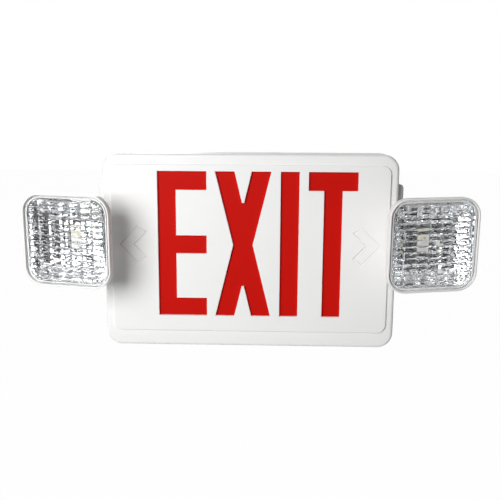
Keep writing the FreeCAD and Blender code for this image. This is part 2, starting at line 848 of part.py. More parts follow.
def build_circuit_board():
    body = new_body("circuit_board")
    sheet = new_sketch(body, "BoardSheet", "XZ_Plane", at=(0, 0, board_back))
    draw_rectangle(sheet, s.board_width, s.board_height, s.board_across, board_up)
    for across, up in board_post_places():
        draw_circle(sheet, s.screw_passage, across, up)
    pad(body, sheet, s.board_thickness)
    return body


def build_relay():
    body = new_body("relay")
    base = new_sketch(
        body, "RelayBase", "XZ_Plane", at=(s.board_across + s.relay_across, board_up + s.relay_up, board_front)
    )
    draw_rectangle(base, s.relay_length, s.relay_width)
    pad(body, base, s.relay_height)
    return body


def build_capacitors():
    cans = []
    for side in (-1, 1):
        across = s.board_across + s.capacitor_across + side * s.capacitor_spacing / 2
        start = (across, -board_front - s.capacitor_height, board_up + s.capacitor_up)
        cans.append(cylinder("Can", "y", s.capacitor_radius, start, s.capacitor_height))
    return group("capacitors", cans)


def build_terminal_block():
    """The block that takes the mains leads, with a wire hole for each way."""
    body = new_body("terminal_block")
    across, up = s.board_across + s.terminal_across, board_up + s.terminal_up
    base = new_sketch(body, "TerminalBase", "XZ_Plane", at=(across, up, board_front))
    draw_rectangle(base, s.terminal_length, s.terminal_width)
    pad(body, base, s.terminal_height)
    pitch = s.terminal_length / s.terminal_ways
    first = across - pitch * (s.terminal_ways - 1) / 2
    ways = new_sketch(body, "WireHole", "XY_Plane", at=(first, -board_front - s.terminal_height / 2, up))
    draw_circle(ways, pitch / 3)
    hole = pocket(body, ways, s.terminal_width + OVERCUT, midplane=True)
    repeat(body, hole, "X_Axis", pitch, s.terminal_ways)
    return body


def build_transformer():
    """Laminated core, wound bobbin and the mounting strap with its two feet."""
    base = floor_inside + s.post_height
    body = new_body("transformer")
    foot = new_sketch(body, "TransformerFoot", "XZ_Plane", at=(0, 0, base))
    draw_rectangle(foot, s.foot_width, s.foot_height, s.transformer_across, transformer_up)
    for across, up in foot_post_places():
        draw_circle(foot, s.screw_passage, across, up)
    pad(body, foot, s.foot_thickness)
    middle = (s.transformer_across, transformer_up, base)
    coil_start = (s.core_depth - s.coil_depth) / 2
    coil = new_sketch(body, "TransformerCoil", "XZ_Plane", at=(middle[0], middle[1], base + coil_start))
    draw_rounded_rectangle(coil, s.coil_width, s.coil_height, s.coil_round)
    core = new_sketch(body, "TransformerCore", "XZ_Plane", at=middle)
    draw_rectangle(core, s.core_width - s.foot_thickness * 2, s.core_height)
    pad(body, core, s.core_depth)
    pad(body, coil, s.coil_depth)
    return body


def build_battery_pack():
    """A shrink-wrapped pack of cells, lying on the housing's floor."""
    body = new_body("battery_pack")
    height = s.cell_diameter * s.cell_count
    middle = floor_inside + s.cell_diameter / 2
    wrap = new_sketch(body, "BatteryWrap", "YZ_Plane", at=(-middle, battery_up, s.battery_across))
    draw_rounded_rectangle(wrap, s.cell_diameter, height, s.cell_diameter * 0.45)
    pad(body, wrap, s.battery_length, midplane=True)
    return body


def build_battery_strap():
    """A bent metal strap over the pack, with a foot on each post."""
    body = new_body("battery_strap")
    top = floor_inside + s.cell_diameter + s.strap_gap
    low = floor_inside + s.post_height
    inner = s.cell_diameter * s.cell_count / 2 + s.strap_gap
    outer = inner + s.strap_thickness
    toe = outer + s.strap_foot
    bend = new_sketch(body, "StrapBend", "YZ_Plane", at=(0, battery_up, s.battery_across))
    crest = top + s.strap_thickness
    tread = low + s.strap_thickness
    left = [(-low, -toe), (-low, -inner), (-top, -inner)]
    right = [(-top, inner), (-low, inner), (-low, toe), (-tread, toe), (-tread, outer), (-crest, outer)]
    draw_polygon(bend, left + right + [(-crest, -outer), (-tread, -outer), (-tread, -toe)])
    pad(body, bend, s.strap_width, midplane=True)
    holes = new_sketch(body, "StrapHoles", "XZ_Plane", at=(0, 0, tread))
    for across, up in strap_post_places():
        draw_circle(holes, s.screw_passage, across, up)
    pocket(body, holes, s.strap_thickness + OVERCUT)
    return body


# ---------------------------------------------------------------- test switch and charge light


def build_test_board():
    """A small board on its two blocks, above the holes in the underside."""
    half = s.test_board_width / 2
    across = (s.test_across - half, s.test_across + half)
    along = (-s.test_back - s.test_board_depth / 2, s.test_board_depth / 2 - s.test_back)
    board = box("test_board", across, along, (test_board_low, test_board_low + s.test_board_thickness))
    board.Label = "test_board"
    return board


def build_test_switch():
    half = s.switch_size / 2
    low = test_board_low - s.switch_height
    case = box(
        "SwitchCase",
        (button_across - half, button_across + half),
        (-s.test_back - half, half - s.test_back),
        (low, test_board_low),
    )
    start = (button_across, -s.test_back, low - s.plunger_height)
    plunger = cylinder("Plunger", "z", s.plunger_radius, start, s.plunger_height)
    return fuse("test_switch", [case, plunger])


def build_test_button():
    """A cap that slides up through the underside until its stem presses the switch."""
    seat = s.button_seat - side_inside
    plunger = test_board_low - s.switch_height - s.plunger_height
    stem_top = plunger - s.button_travel - s.button_free_play
    low = -half_height - s.button_proud
    cap = cylinder("Cap", "z", s.button_radius, (button_across, -s.test_back, low), seat - low)
    flange = cylinder("Flange", "z", s.button_flange_radius, (button_across, -s.test_back, seat), s.button_flange)
    stem = cylinder("Stem", "z", s.button_stem_radius, (button_across, -s.test_back, seat), stem_top - seat)
    return fuse("test_button", [cap, flange, stem])


def build_charge_light():
    """A round LED in the underside, on two legs from the small board."""
    low = -half_height - s.status_led_proud
    place = (status_across, -s.test_back)
    ball = doc.addObject("Part::Sphere", "Dome")
    bind(ball, "Radius", s.status_led_radius)
    for letter, distance in zip("xyz", (place[0], place[1], low + s.status_led_radius)):
        bind(ball, f"Placement.Base.{letter}", distance)
    start = (place[0], place[1], low + s.status_led_radius)
    barrel = cylinder("Barrel", "z", s.status_led_radius, start, s.status_led_height - s.status_led_radius)
    flange_start = (place[0], place[1], -side_inside)
    flange = cylinder("Rim", "z", s.status_led_flange_radius, flange_start, s.status_led_flange)
    legs = []
    for side in (-1, 1):
        middle = place[0] + side * s.status_led_radius / 2
        across = (middle - s.status_led_leg / 2, middle + s.status_led_leg / 2)
        along = (place[1] - s.status_led_leg / 2, place[1] + s.status_led_leg / 2)
        legs.append(box("Leg", across, along, (low + s.status_led_height - OVERCUT, test_board_low)))
    return fuse("charge_light", [ball, barrel, flange] + legs)


# ---------------------------------------------------------------- swivel arm, in its own frame
# Frame of an arm: the origin is on the swivel axis at the case's centre plane, +X runs out
# through the pad and -Y to the front.


def build_swivel_arm(label):
    body = new_body(label)
    collar_start = pad_face + s.collar_gap
    ring_start = pad_inside - s.collar_gap - s.washer_thickness - s.ring_thickness
    spigot_start = ring_start - s.spigot_end
    collar = new_sketch(body, "Collar", "YZ_Plane", at=(0, 0, collar_start))
    draw_circle(collar, s.collar_radius)
    pad(body, collar, s.collar_thickness)
    spigot = new_sketch(body, "Spigot", "YZ_Plane", at=(0, 0, spigot_start))
    draw_circle(spigot, s.spigot_radius)
    pad(body, spigot, collar_start - spigot_start)
    groove = new_sketch(body, "RingGroove", "YZ_Plane", at=(0, 0, ring_start))
    draw_circle(groove, s.spigot_radius + OVERCUT)
    draw_circle(groove, s.spigot_radius - s.ring_groove)
    pocket(body, groove, s.ring_thickness, reverse=True)

    tongue = new_sketch(body, "Tongue", "XY_Plane", at=(hinge_across, -s.hinge_forward, 0))
    draw_circle(tongue, s.tongue_radius)
    pad(body, tongue, s.tongue_thickness, midplane=True)
    neck = new_sketch(body, "Neck", "XY_Plane")
    root = collar_start + s.collar_thickness / 2
    back = s.tongue_thickness * 0.8
    shoulder = root + s.collar_thickness
    hinge_left = hinge_across - s.tongue_radius
    hinge_right = hinge_across + s.tongue_radius
    front = -s.hinge_forward
    draw_polygon(neck, [(root, back), (shoulder, back), (hinge_right, front), (hinge_left, front), (root, front / 2)])
    pad(body, neck, s.tongue_thickness, midplane=True)

    hinge = new_sketch(body, "HingeHole", "XY_Plane")
    draw_circle(hinge, hinge_bore, hinge_across, -s.hinge_forward)
    pocket(body, hinge, s.tongue_thickness + OVERCUT, midplane=True)
    bore = new_sketch(body, "LeadBore", "YZ_Plane", at=(0, 0, spigot_start - OVERCUT))
    draw_circle(bore, s.lead_bore_radius)
    pocket(body, bore, hinge_right - spigot_start + OVERCUT * 2, reverse=True)
    return body


def build_ring(label, start, thickness, inner, outer):
    """A flat ring round the spigot."""
    body = new_body(label)
    outline = new_sketch(body, "Ring", "YZ_Plane", at=(0, 0, start))
    draw_circle(outline, outer)
    draw_circle(outline, inner)
    pad(body, outline, thickness)
    return body


def build_swivel(hand):
    """The arm, its friction washer and its retaining ring."""
    washer_start = pad_inside - s.collar_gap - s.washer_thickness
    ring_start = washer_start - s.ring_thickness
    washer_bore = s.spigot_radius + s.spigot_clearance
    groove_radius = s.spigot_radius - s.ring_groove
    return [
        build_swivel_arm(f"{hand}_swivel_arm"),
        build_ring(f"{hand}_friction_washer", washer_start, s.washer_thickness, washer_bore, s.washer_radius),
        build_ring(f"{hand}_retaining_ring", ring_start, s.ring_thickness, groove_radius, s.washer_radius),
    ]


# ---------------------------------------------------------------- lamp head, in its own frame
# Frame of a head: the origin is the knuckle's axis at mid-height and -Y runs to the lens.
# Distances of sketches on XZ_Plane are measured from the knuckle towards the lens.


def draw_square(sketch, size, corner):
    draw_rounded_rectangle(sketch, size, size, corner)


def square_at(body, name, forward, size, corner):
    sketch = new_sketch(body, name, "XZ_Plane", at=(0, 0, forward))
    draw_square(sketch, size, corner)
    return sketch


def build_head_shell(label):
    """A square bowl: straight rim, rounded back and a forked knuckle behind it."""
    body = new_body(label)
    pad(body, square_at(body, "Bowl", head_back, s.head_size, s.head_corner), s.head_depth)
    lip = square_at(body, "LensSeat", s.head_to_hinge, s.head_size - 2 * s.head_lip, s.head_corner - s.head_lip)
    pocket(body, lip, s.head_to_hinge - ledge)
    narrow = s.head_size - 2 * s.head_ledge
    corner = s.head_corner - s.head_ledge
    pocket(body, square_at(body, "Hollow", ledge, narrow, corner), ledge - shell_floor)
    bevel(body, s.hollow_taper, s.hollow_taper_depth, lambda edge: lies_at(edge, "Y", -shell_floor))
    bevel(body, s.bowl_taper, s.bowl_taper_depth, lambda edge: lies_at(edge, "Y", -head_back))
    taper_start = head_back + s.bowl_taper_depth
    fillet(body, s.bowl_round, lambda edge: lies_at(edge, "Y", -head_back) or lies_at(edge, "Y", -taper_start))
    fillet(body, s.rim_round, lambda edge: lies_at(edge, "Y", -s.head_to_hinge))

    reach = head_back + s.head_wall / 2
    for side in (-1, 1):
        ear = new_sketch(body, "Ear", "XY_Plane", at=(0, 0, side * ear_inside))
        draw_tombstone(ear, s.ear_radius, reach)
        pad(body, ear, s.ear_thickness, reverse=side < 0)
    web = new_sketch(body, "ForkWeb", "XY_Plane")
    middle = (reach + s.fork_throat) / 2
    draw_rectangle(web, 2 * s.ear_radius, reach - s.fork_throat, 0, -middle)
    pad(body, web, 2 * ear_outside, midplane=True)
    hinge = new_sketch(body, "EarHoles", "XY_Plane")
    draw_circle(hinge, hinge_bore)
    pocket(body, hinge, 2 * (ear_outside + OVERCUT), midplane=True)
    return body


def build_reflector(label):
    """A bright square dish from the lens down to the lamp board, with a flange under the lens."""
    body = new_body(label)
    flange_size = s.head_size - 2 * s.head_lip - s.lens_gap
    flange_corner = s.head_corner - s.head_lip - s.lens_gap / 2
    mouth = s.head_size - 2 * s.head_ledge - 2 * s.reflector_gap
    corner = s.head_corner - s.head_ledge - s.reflector_gap
    pad(body, square_at(body, "Dish", reflector_back, mouth, corner), ledge - reflector_back)
    pad(body, square_at(body, "MouthFlange", ledge, flange_size, flange_corner), s.reflector_wall)
    inside = mouth - 2 * s.reflector_wall
    floor = reflector_back + s.reflector_wall
    hollow = square_at(body, "DishInside", lens_back, inside, corner - s.reflector_wall)
    pocket(body, hollow, lens_back - floor)
    for level in (floor, reflector_back):
        bevel(body, s.reflector_taper, s.hollow_taper_depth, lambda edge, level=level: lies_at(edge, "Y", -level))
    lamp_hole = new_sketch(body, "LampHole", "XZ_Plane", at=(0, 0, floor))
    draw_circle(lamp_hole, s.lamp_hole_radius)
    pocket(body, lamp_hole, s.reflector_wall + OVERCUT)
    return body


def build_lamp_board(label):
    body = new_body(label)
    board = new_sketch(body, "LampBoard", "XZ_Plane", at=(0, 0, shell_floor))
    draw_rectangle(board, s.lamp_board_size, s.lamp_board_size)
    pad(body, board, s.lamp_board_thickness)
    return body


def build_lamp_leds(label):
    """Round LEDs on a circle about the middle of the lamp board."""
    body = new_body(label)
    body.AllowCompound = True
    leds = new_sketch(body, "LampLeds", "XZ_Plane", at=(0, 0, reflector_back))
    for index in range(int(SIZES["lamp_led_count"])):
        angle = 2 * math.pi * index / SIZES["lamp_led_count"]
        across, up = s.lamp_led_circle * math.sin(angle), s.lamp_led_circle * math.cos(angle)
        draw_circle(leds, s.lamp_led_radius, across, up)
    pad(body, leds, s.lamp_led_height)
    return body


def build_lens(label):
    """A clear plate with upright ribs on the outside and level ribs on the inside."""
    body = new_body(label)
    size = s.head_size - 2 * s.head_lip - 2 * s.lens_gap
    corner = s.head_corner - s.head_lip - s.lens_gap
    field = size - 2 * s.field_margin
    field_corner = corner - s.field_margin
    inner_field = field - 2 * s.inner_margin
    inner_corner = field_corner - s.inner_margin
    border = lens_back + s.lens_thickness
    pad(body, square_at(body, "LensPlate", lens_back, size, corner), s.lens_thickness)
    pad(body, square_at(body, "LensField", border, field, field_corner), s.rib_web + s.flute_rise)
    inner = square_at(body, "InnerField", lens_back, inner_field, inner_corner)
    pad(body, inner, s.rib_web + s.row_rise, reverse=True)

    column = field / s.flute_columns
    first = (column - field) / 2
    valley = new_sketch(body, "ColumnValley", "XY_Plane", at=(first, -border - s.rib_web, 0))
    valley.AttachmentOffset = Placement(valley.AttachmentOffset.Base, Rotation(Vector(0, 0, 1), 180))
    draw_valley(valley, column, s.flute_rise)
    repeat(body, pocket(body, valley, s.head_size, midplane=True), "X_Axis", column, s.flute_columns)

    row = inner_field / s.flute_rows
    lowest = (row - inner_field) / 2
    groove = new_sketch(body, "RowValley", "YZ_Plane", at=(s.rib_web - lens_back, lowest, 0))
    groove.AttachmentOffset = Placement(groove.AttachmentOffset.Base, Rotation(Vector(0, 0, 1), -90))
    draw_valley(groove, row, s.row_rise)
    repeat(body, pocket(body, groove, s.head_size, midplane=True), "Z_Axis", row, s.flute_rows)
    return body


def build_hinge_screw(label):
    head_start = (0, 0, ear_outside)
    head = cylinder("HingeHead", "z", s.screw_head_radius, head_start, s.screw_head_height)
    low = -ear_outside - s.nut_height
    shaft = cylinder("HingeShaft", "z", s.hinge_screw_radius, (0, 0, low), ear_outside - low)
    return fuse(label, [head, shaft])


def build_hinge_nut(label):
    """A hexagon nut under the lower ear."""
    prism = doc.addObject("Part::Prism", "NutPrism")
    prism.Polygon = 6
    bind(prism, "Circumradius", s.nut_flats / math.sqrt(3))
    bind(prism, "Height", s.nut_height)
    bind(prism, "Placement.Base.z", -ear_outside - s.nut_height)
    start = (0, 0, -ear_outside - s.nut_height - OVERCUT)
    thread = cylinder("NutBore", "z", s.hinge_screw_radius, start, s.nut_height + 2 * OVERCUT)
    return cut(label, prism, thread)


def build_head(hand):
    return [
        build_head_shell(f"{hand}_head_shell"),
        build_reflector(f"{hand}_reflector"),
        build_lamp_board(f"{hand}_lamp_board"),
        build_lamp_leds(f"{hand}_lamp_leds"),
        build_lens(f"{hand}_lens"),
        build_hinge_screw(f"{hand}_hinge_screw"),
        build_hinge_nut(f"{hand}_hinge_nut"),
    ]


def build_lamp(hand, side):
    """A swivel and its head, placed as they are aimed. side is 1 for the right, -1 for the left."""
    tilt = Rotation(Vector(1, 0, 0), SIZES[f"{hand}_tilt"])
    swivel = Placement(Vector(0, -float(swivel_back), float(s.swivel_height)), tilt)
    turned = Rotation(Vector(0, 1, 0), 0 if side > 0 else 180)
    knuckle = Vector(side * float(hinge_across), -float(s.hinge_forward), 0)
    pan = Rotation(Vector(0, 0, 1), side * SIZES[f"{hand}_pan"])
    arm_pieces = build_swivel(hand)
    head_pieces = build_head(hand)
    for piece in arm_pieces:
        piece.Placement = swivel * Placement(Vector(), turned)
    for piece in head_pieces:
        piece.Placement = swivel * Placement(knuckle, pan)
    return arm_pieces + head_pieces


# ---------------------------------------------------------------- the whole light


def build_case():
    return [
        build_back_housing(),
        build_face_plate(),
        build_red_diffuser(),
        *build_led_strip("upper", 1),
        *build_led_strip("lower", -1),
        build_circuit_board(),
        build_screws("board_screws", board_post_places(), board_front),
        build_relay(),
        build_capacitors(),
        build_terminal_block(),
        build_transformer(),
        build_screws("transformer_screws", foot_post_places(), floor_inside + s.post_height + s.foot_thickness),
        build_battery_pack(),
        build_battery_strap(),
        build_screws("strap_screws", strap_post_places(), floor_inside + s.post_height + s.strap_thickness),
        build_test_board(),
        build_test_switch(),
        build_test_button(),
        build_charge_light(),
    ]


def check(nodes):
    """Stops if any object failed or any node's shape isn't sound."""
    failed = [item.Name for item in doc.Objects if {"Invalid", "Error"} & set(item.State)]
    if failed:
        raise RuntimeError(f"failed: {failed}")
    for node in nodes:
        if node.Shape.isNull() or not node.Shape.isValid() or not node.Shape.Solids:
            raise RuntimeError(f"{node.Label} has no sound solid")


def export(nodes):
    os.makedirs(PARTS_FOLDER, exist_ok=True)
    for node in nodes:
        node.Shape.exportStep(f"{PARTS_FOLDER}/{node.Label}.step")
        print(f"{node.Label}: {len(node.Shape.Solids)} solids, {node.Shape.Volume / 1000:.2f} cm3")


nodes = build_case() + build_lamp("left", -1) + build_lamp("right", 1)
doc.recompute()
check(nodes)
export(nodes)
print(f"{len(nodes)} nodes")
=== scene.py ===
"""Looks of an emergency exit light: its cover with the legend, its lamp heads, its finishes and its studio."""

import bmesh
import bpy
import json
import math
from mathutils import Matrix, Vector
from mathutils.geometry import delaunay_2d_cdt


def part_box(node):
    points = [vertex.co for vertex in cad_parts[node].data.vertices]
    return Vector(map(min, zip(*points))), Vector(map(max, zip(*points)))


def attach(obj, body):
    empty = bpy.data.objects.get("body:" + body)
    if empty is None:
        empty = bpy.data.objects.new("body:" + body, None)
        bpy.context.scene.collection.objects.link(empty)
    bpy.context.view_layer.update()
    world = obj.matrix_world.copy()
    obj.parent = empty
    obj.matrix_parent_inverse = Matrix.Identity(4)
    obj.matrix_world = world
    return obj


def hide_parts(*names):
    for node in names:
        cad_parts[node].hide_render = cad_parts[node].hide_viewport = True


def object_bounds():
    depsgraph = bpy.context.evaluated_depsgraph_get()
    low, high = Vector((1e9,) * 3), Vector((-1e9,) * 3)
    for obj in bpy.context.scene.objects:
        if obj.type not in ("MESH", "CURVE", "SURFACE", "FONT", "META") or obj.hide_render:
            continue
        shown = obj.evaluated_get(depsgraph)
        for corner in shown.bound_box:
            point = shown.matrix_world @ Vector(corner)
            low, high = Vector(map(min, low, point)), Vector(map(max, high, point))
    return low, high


bl_info = {
    "name": "Emergency exit light",
    "version": (1, 0, 0),
    "blender": (4, 5, 0),
    "location": "3D View > Sidebar > Exit light",
    "description": "Builds the cover, lamp heads, finishes and studio of an emergency exit light",
    "category": "Object",
}

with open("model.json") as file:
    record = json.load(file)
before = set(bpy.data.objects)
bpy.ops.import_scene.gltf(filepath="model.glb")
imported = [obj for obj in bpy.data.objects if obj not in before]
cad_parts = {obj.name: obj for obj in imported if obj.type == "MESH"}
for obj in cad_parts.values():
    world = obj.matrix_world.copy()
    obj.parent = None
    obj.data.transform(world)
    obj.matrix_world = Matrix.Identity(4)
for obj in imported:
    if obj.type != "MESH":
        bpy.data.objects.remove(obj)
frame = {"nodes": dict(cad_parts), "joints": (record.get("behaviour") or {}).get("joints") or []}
CAD_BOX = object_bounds()
NODES = frame["nodes"]
JOINTS = {joint["name"]: joint for joint in frame["joints"]}
HANDS = {"left": -1, "right": 1}
MM = 0.001

# Places that the CAD model fixes, in metres; distances in front run towards -Y
COVER_LOW, COVER_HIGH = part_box("face_plate")
HALF_WIDTH = COVER_HIGH.x
HALF_HEIGHT = COVER_HIGH.z
PANEL_FRONT = -COVER_LOW.y
PARTING = 29.0 * MM
CASE_CORNER = 16.0 * MM
HEAD_SIZE = 94.0 * MM
HEAD_CORNER = 19.3 * MM
LENS_BACK = 48.6 * MM
LEDGE = 47.6 * MM
REFLECTOR_BACK = 27.4 * MM


# ---------------------------------------------------------------- settings


def length(name, description, millimetres):
    """A size in the panel, given here in millimetres."""
    return bpy.props.FloatProperty(
        name=name, description=description, default=millimetres * MM, min=0.0, unit="LENGTH", precision=4
    )


def degrees(name, description, value):
    """An angle in the panel, given here in degrees."""
    return bpy.props.FloatProperty(name=name, description=description, default=math.radians(value), subtype="ANGLE")


def position(name, description, metres):
    """A place in the panel, in metres across, into the wall and up."""
    return bpy.props.FloatVectorProperty(name=name, description=description, default=metres, subtype="TRANSLATION")


def power(name, description, watts):
    """A lamp's power in the panel."""
    return bpy.props.FloatProperty(name=name, description=description, default=watts, min=0.0, unit="POWER")


def colour(name, description, hex_value):
    """A colour in the panel, given here as sRGB hex."""
    return bpy.props.FloatVectorProperty(
        name=name, description=description, default=linear(hex_value), size=4, min=0.0, max=1.0, subtype="COLOR"
    )


def linear(hex_value):
    """An sRGB hex colour as the linear red, green, blue and alpha that shaders take."""
    channels = [int(hex_value[start : start + 2], 16) / 255 for start in (1, 3, 5)]
    return [c / 12.92 if c <= 0.04045 else ((c + 0.055) / 1.055) ** 2.4 for c in channels] + [1.0]


class CoverSettings(bpy.types.PropertyGroup):
    """Sizes and colours of the cover and its legend."""

    wall: length("Wall", "Thickness of the raised panel", 2.7)
    panel_width: length("Panel width", "Width of the raised panel", 288.0)
    panel_height: length("Panel height", "Height of the raised panel", 176.0)
    panel_corner: length("Panel corner", "Corner radius of the raised panel", 9.0)
    panel_lift: length("Panel lift", "Height of the panel's middle above the case's", 3.0)
    panel_rise: length("Panel rise", "How far the panel stands in front of the flange", 2.2)
    panel_round: length("Panel edge", "Rounding of the panel's edge", 0.8)
    flange_round: length("Flange edge", "Rounding of the cover's outer edge", 3.5)
    skirt: length("Skirt", "Thickness of the cover's side wall", 2.5)
    letter_low: length("Legend base", "How far the letters' feet are below the case's middle", 68.1)
    letter_high: length("Legend top", "Height of the letters' tops above the case's middle", 84.3)
    letter_edge: length("Letter edge", "Rounding of the letter openings", 0.35)
    score_width: length("Score width", "Width of the grooves round the arrow knock-outs", 1.3)
    score_depth: length("Score depth", "Depth of the grooves round the arrow knock-outs", 1.2)
    plastic: colour("Plastic", "Colour of the moulded case", "#F3F3F2")
    diffuser: colour("Diffuser", "Colour of the legend's diffuser", "#C6120A")


class HeadSettings(bpy.types.PropertyGroup):
    """Sizes and colours of the lamp heads."""

    lens_gap: length("Lens gap", "Gap between the lens and the lip round it", 0.7)
    lip: length("Lip", "Thickness of the lip round the lens", 2.0)
    lens_thickness: length("Lens border", "Thickness of the lens round its ribs", 2.5)
    field_size: length("Outer ribs", "Width of the field of upright ribs", 83.0)
    inner_field_size: length("Inner ribs", "Width of the field of level ribs", 81.0)
    field_margin: length("Border width", "Plain border round the ribs at the corners", 2.8)
    column_rise: length("Upright rib height", "Height of the upright ribs outside", 1.4)
    row_rise: length("Level rib height", "Height of the level ribs inside", 0.8)
    crest: length("Rib crest", "How far all ribs stand above the plain border", 0.9)
    columns: bpy.props.IntProperty(name="Columns", description="Upright ribs across a lens", default=7, min=1)
    rows: bpy.props.IntProperty(name="Rows", description="Level ribs up a lens", default=14, min=1)
    bowl_mouth: length("Bowl mouth", "Width of the reflector's mouth", 84.0)
    bowl_corner: length("Bowl corner", "Corner radius of the reflector's mouth", 14.0)
    bowl_slope: length("Bowl slope", "Width of the sloping wall round the reflector's floor", 18.0)
    bowl_wall: length("Bowl wall", "Thickness of the reflector", 1.0)
    lamp_hole: length("Lamp hole", "Radius of the hole for the lamp", 10.5)
    mirror: colour("Reflector", "Colour of the metallised bowl", "#F0F2F4")
    left_tilt: degrees("Left tilt", "How far the left head looks down", 1.4)
    right_tilt: degrees("Right tilt", "How far the right head looks down", 1.8)
    left_pan: degrees("Left pan", "How far the left head looks outwards", 11.9)
    right_pan: degrees("Right pan", "How far the right head looks outwards", 12.6)


class StageSettings(bpy.types.PropertyGroup):
    """Camera, lights and floor."""

    camera_place: position("Camera", "Where the camera stands", (0.0227, -0.7564, 0.1340))
    camera_pitch: degrees("Pitch", "How far the camera looks down", 10.439)
    camera_yaw: degrees("Yaw", "How far the camera looks left", 1.782)
    camera_roll: degrees("Roll", "How far the camera leans", 0.313)
    key_place: position("Key place", "Where the large lamp at the upper left stands", (-0.58, -1.12, 0.38))
    key_size: length("Lamp size", "Width of both lamps", 760.0)
    key_power: power("Key light", "Power of the large lamp at the upper left", 7.9)
    back_place: position("Back place", "Where the lamp behind stands", (-0.55, 1.15, 0.55))
    back_power: power("Back light", "Power of the lamp behind", 4.5)
    lamp_spread: degrees("Lamp spread", "How wide the lamps shine", 120.0)
    fill: bpy.props.FloatProperty(name="Fill", description="Strength of the room's light", default=0.04, min=0.0)
    dark_side: degrees("Dark side", "Which way the unlit end of the studio lies", 42.0)
    dark_drop: degrees("Dark drop", "How far the unlit parts lie below level", 8.0)
    dark_reach: degrees("Dark reach", "How wide the unlit end is, from its middle", 32.0)
    dark_corner: degrees("Dark corner", "Which way the second unlit part lies", -36.0)
    corner_reach: degrees("Corner reach", "How wide the second unlit part is, from its middle", 28.0)
    dark_level: bpy.props.FloatProperty(
        name="Dark level", description="Brightness of the unlit parts", default=0.02, min=0.0
    )
    floor_drop: length("Floor drop", "How far the floor is below the wall-mounted light", 330.0)
    floor_white: bpy.props.FloatProperty(
        name="Floor white", description="How much the floor looks white whatever its shadows", default=0.985, max=1.0
    )


# ---------------------------------------------------------------- node and mesh helpers


def add_node(tree, kind, inputs=None, **settings):
    """Adds a node with its settings, and its inputs as values or as links from other nodes' outputs."""
    node = tree.nodes.new(kind)
    for name, value in settings.items():
        setattr(node, name, value)
    for socket, value in (inputs or {}).items():
        if isinstance(value, bpy.types.NodeSocket):
            tree.links.new(value, node.inputs[socket])
        else:
            node.inputs[socket].default_value = value
    return node


def new_material(name):
    """An empty node material, its tree and its object coordinates."""
    material = bpy.data.materials.new(name)
    material.use_nodes = True
    tree = material.node_tree
    tree.nodes.clear()
    return material, tree, add_node(tree, "ShaderNodeTexCoord").outputs["Object"]


def finish_material(tree, shader):
    """Gives the tree its surface."""
    add_node(tree, "ShaderNodeOutputMaterial", {"Surface": shader.outputs[0]})


def seen_directly(tree):
    """One for rays from the eye, a mirror or clear plastic, and none for the light that surfaces scatter."""
    path = add_node(tree, "ShaderNodeLightPath").outputs
    clear = add_node(
        tree, "ShaderNodeMath", {0: path["Is Glossy Ray"], 1: path["Is Transmission Ray"]}, operation="MAXIMUM"
    )
    seen = add_node(tree, "ShaderNodeMath", {0: path["Is Camera Ray"], 1: clear.outputs[0]}, operation="MAXIMUM")
    return seen.outputs[0]


def wear(names, material):
    """Gives CAD nodes a material."""
    for name in names:
        node = NODES[name]
        node.data.materials.clear()
        node.data.materials.append(material)


def rounded_loop(half_width, half_height, radius, rise=0.0, steps=8):
    """Points of a rounded rectangle seen from the front, anticlockwise."""
    loop = []
    for side, up, start in ((1, -1, -90), (1, 1, 0), (-1, 1, 90), (-1, -1, 180)):
        middle = Vector((side * (half_width - radius), up * (half_height - radius) + rise))
        for step in range(steps + 1):
            angle = math.radians(start + 90 * step / steps)
            loop.append(middle + radius * Vector((math.cos(angle), math.sin(angle))))
    return loop


def offset_loop(loop, distance):
    """An anticlockwise loop moved outwards by a distance, its corners mitred."""
    moved = []
    for index, point in enumerate(loop):
        before = (point - loop[index - 1]).normalized()
        after = (loop[(index + 1) % len(loop)] - point).normalized()
        out_before, out_after = Vector((before.y, -before.x)), Vector((after.y, -after.x))
        moved.append(point + (out_before + out_after) * distance / (1 + out_before.dot(out_after)))
    return moved


def add_ring(mesh, loop, forward):
    """Vertices on a loop, at a distance in front."""
    return [mesh.verts.new((point.x, -forward, point.y)) for point in loop]


def skin(mesh, rings):
    """Faces from each ring to the next."""
    for first, second in zip(rings, rings[1:]):
        for index in range(len(first)):
            following = (index + 1) % len(first)
            mesh.faces.new((first[index], first[following], second[following], second[index]))


def fill(mesh, rings):
    """Faces between an outer ring and the rings inside it."""
    edges = []
    for ring in rings:
        for index, vertex in enumerate(ring):
            following = ring[(index + 1) % len(ring)]
            edges.append(mesh.edges.get((vertex, following)) or mesh.edges.new((vertex, following)))
    bmesh.ops.triangle_fill(mesh, edges=edges, use_beauty=True)


def new_object(name, mesh, material=None):
    """An object of a mesh whose faces are turned outwards."""
    bmesh.ops.recalc_face_normals(mesh, faces=mesh.faces)
    data = bpy.data.meshes.new(name)
    mesh.to_mesh(data)
    mesh.free()
    if material:
        data.materials.append(material)
    piece = bpy.data.objects.new(name, data)
    bpy.context.scene.collection.objects.link(piece)
    return piece


def smooth(piece, angle=35.0):
    """Smooth shading, broken at edges sharper than an angle, with flat faces kept flat."""
    piece.data.shade_smooth()
    piece.data.set_sharp_from_angle(angle=math.radians(angle))
    piece.modifiers.new("Flat faces", "WEIGHTED_NORMAL").keep_sharp = True
    return evaluate(piece)


def evaluate(piece):
    """Turns a piece's modifiers into its plain mesh."""
    graph = bpy.context.evaluated_depsgraph_get()
    data = bpy.data.meshes.new_from_object(piece.evaluated_get(graph), depsgraph=graph)
    piece.modifiers.clear()
    piece.data = data
    return piece


def settle(piece, body, replaces=(), angle=35.0):
    """Shades a piece, hangs it on the body that carries it, and hides the CAD nodes that it replaces."""
    smooth(piece, angle)
    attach(piece, body)
    for node in replaces:
        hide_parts(node)
    return piece


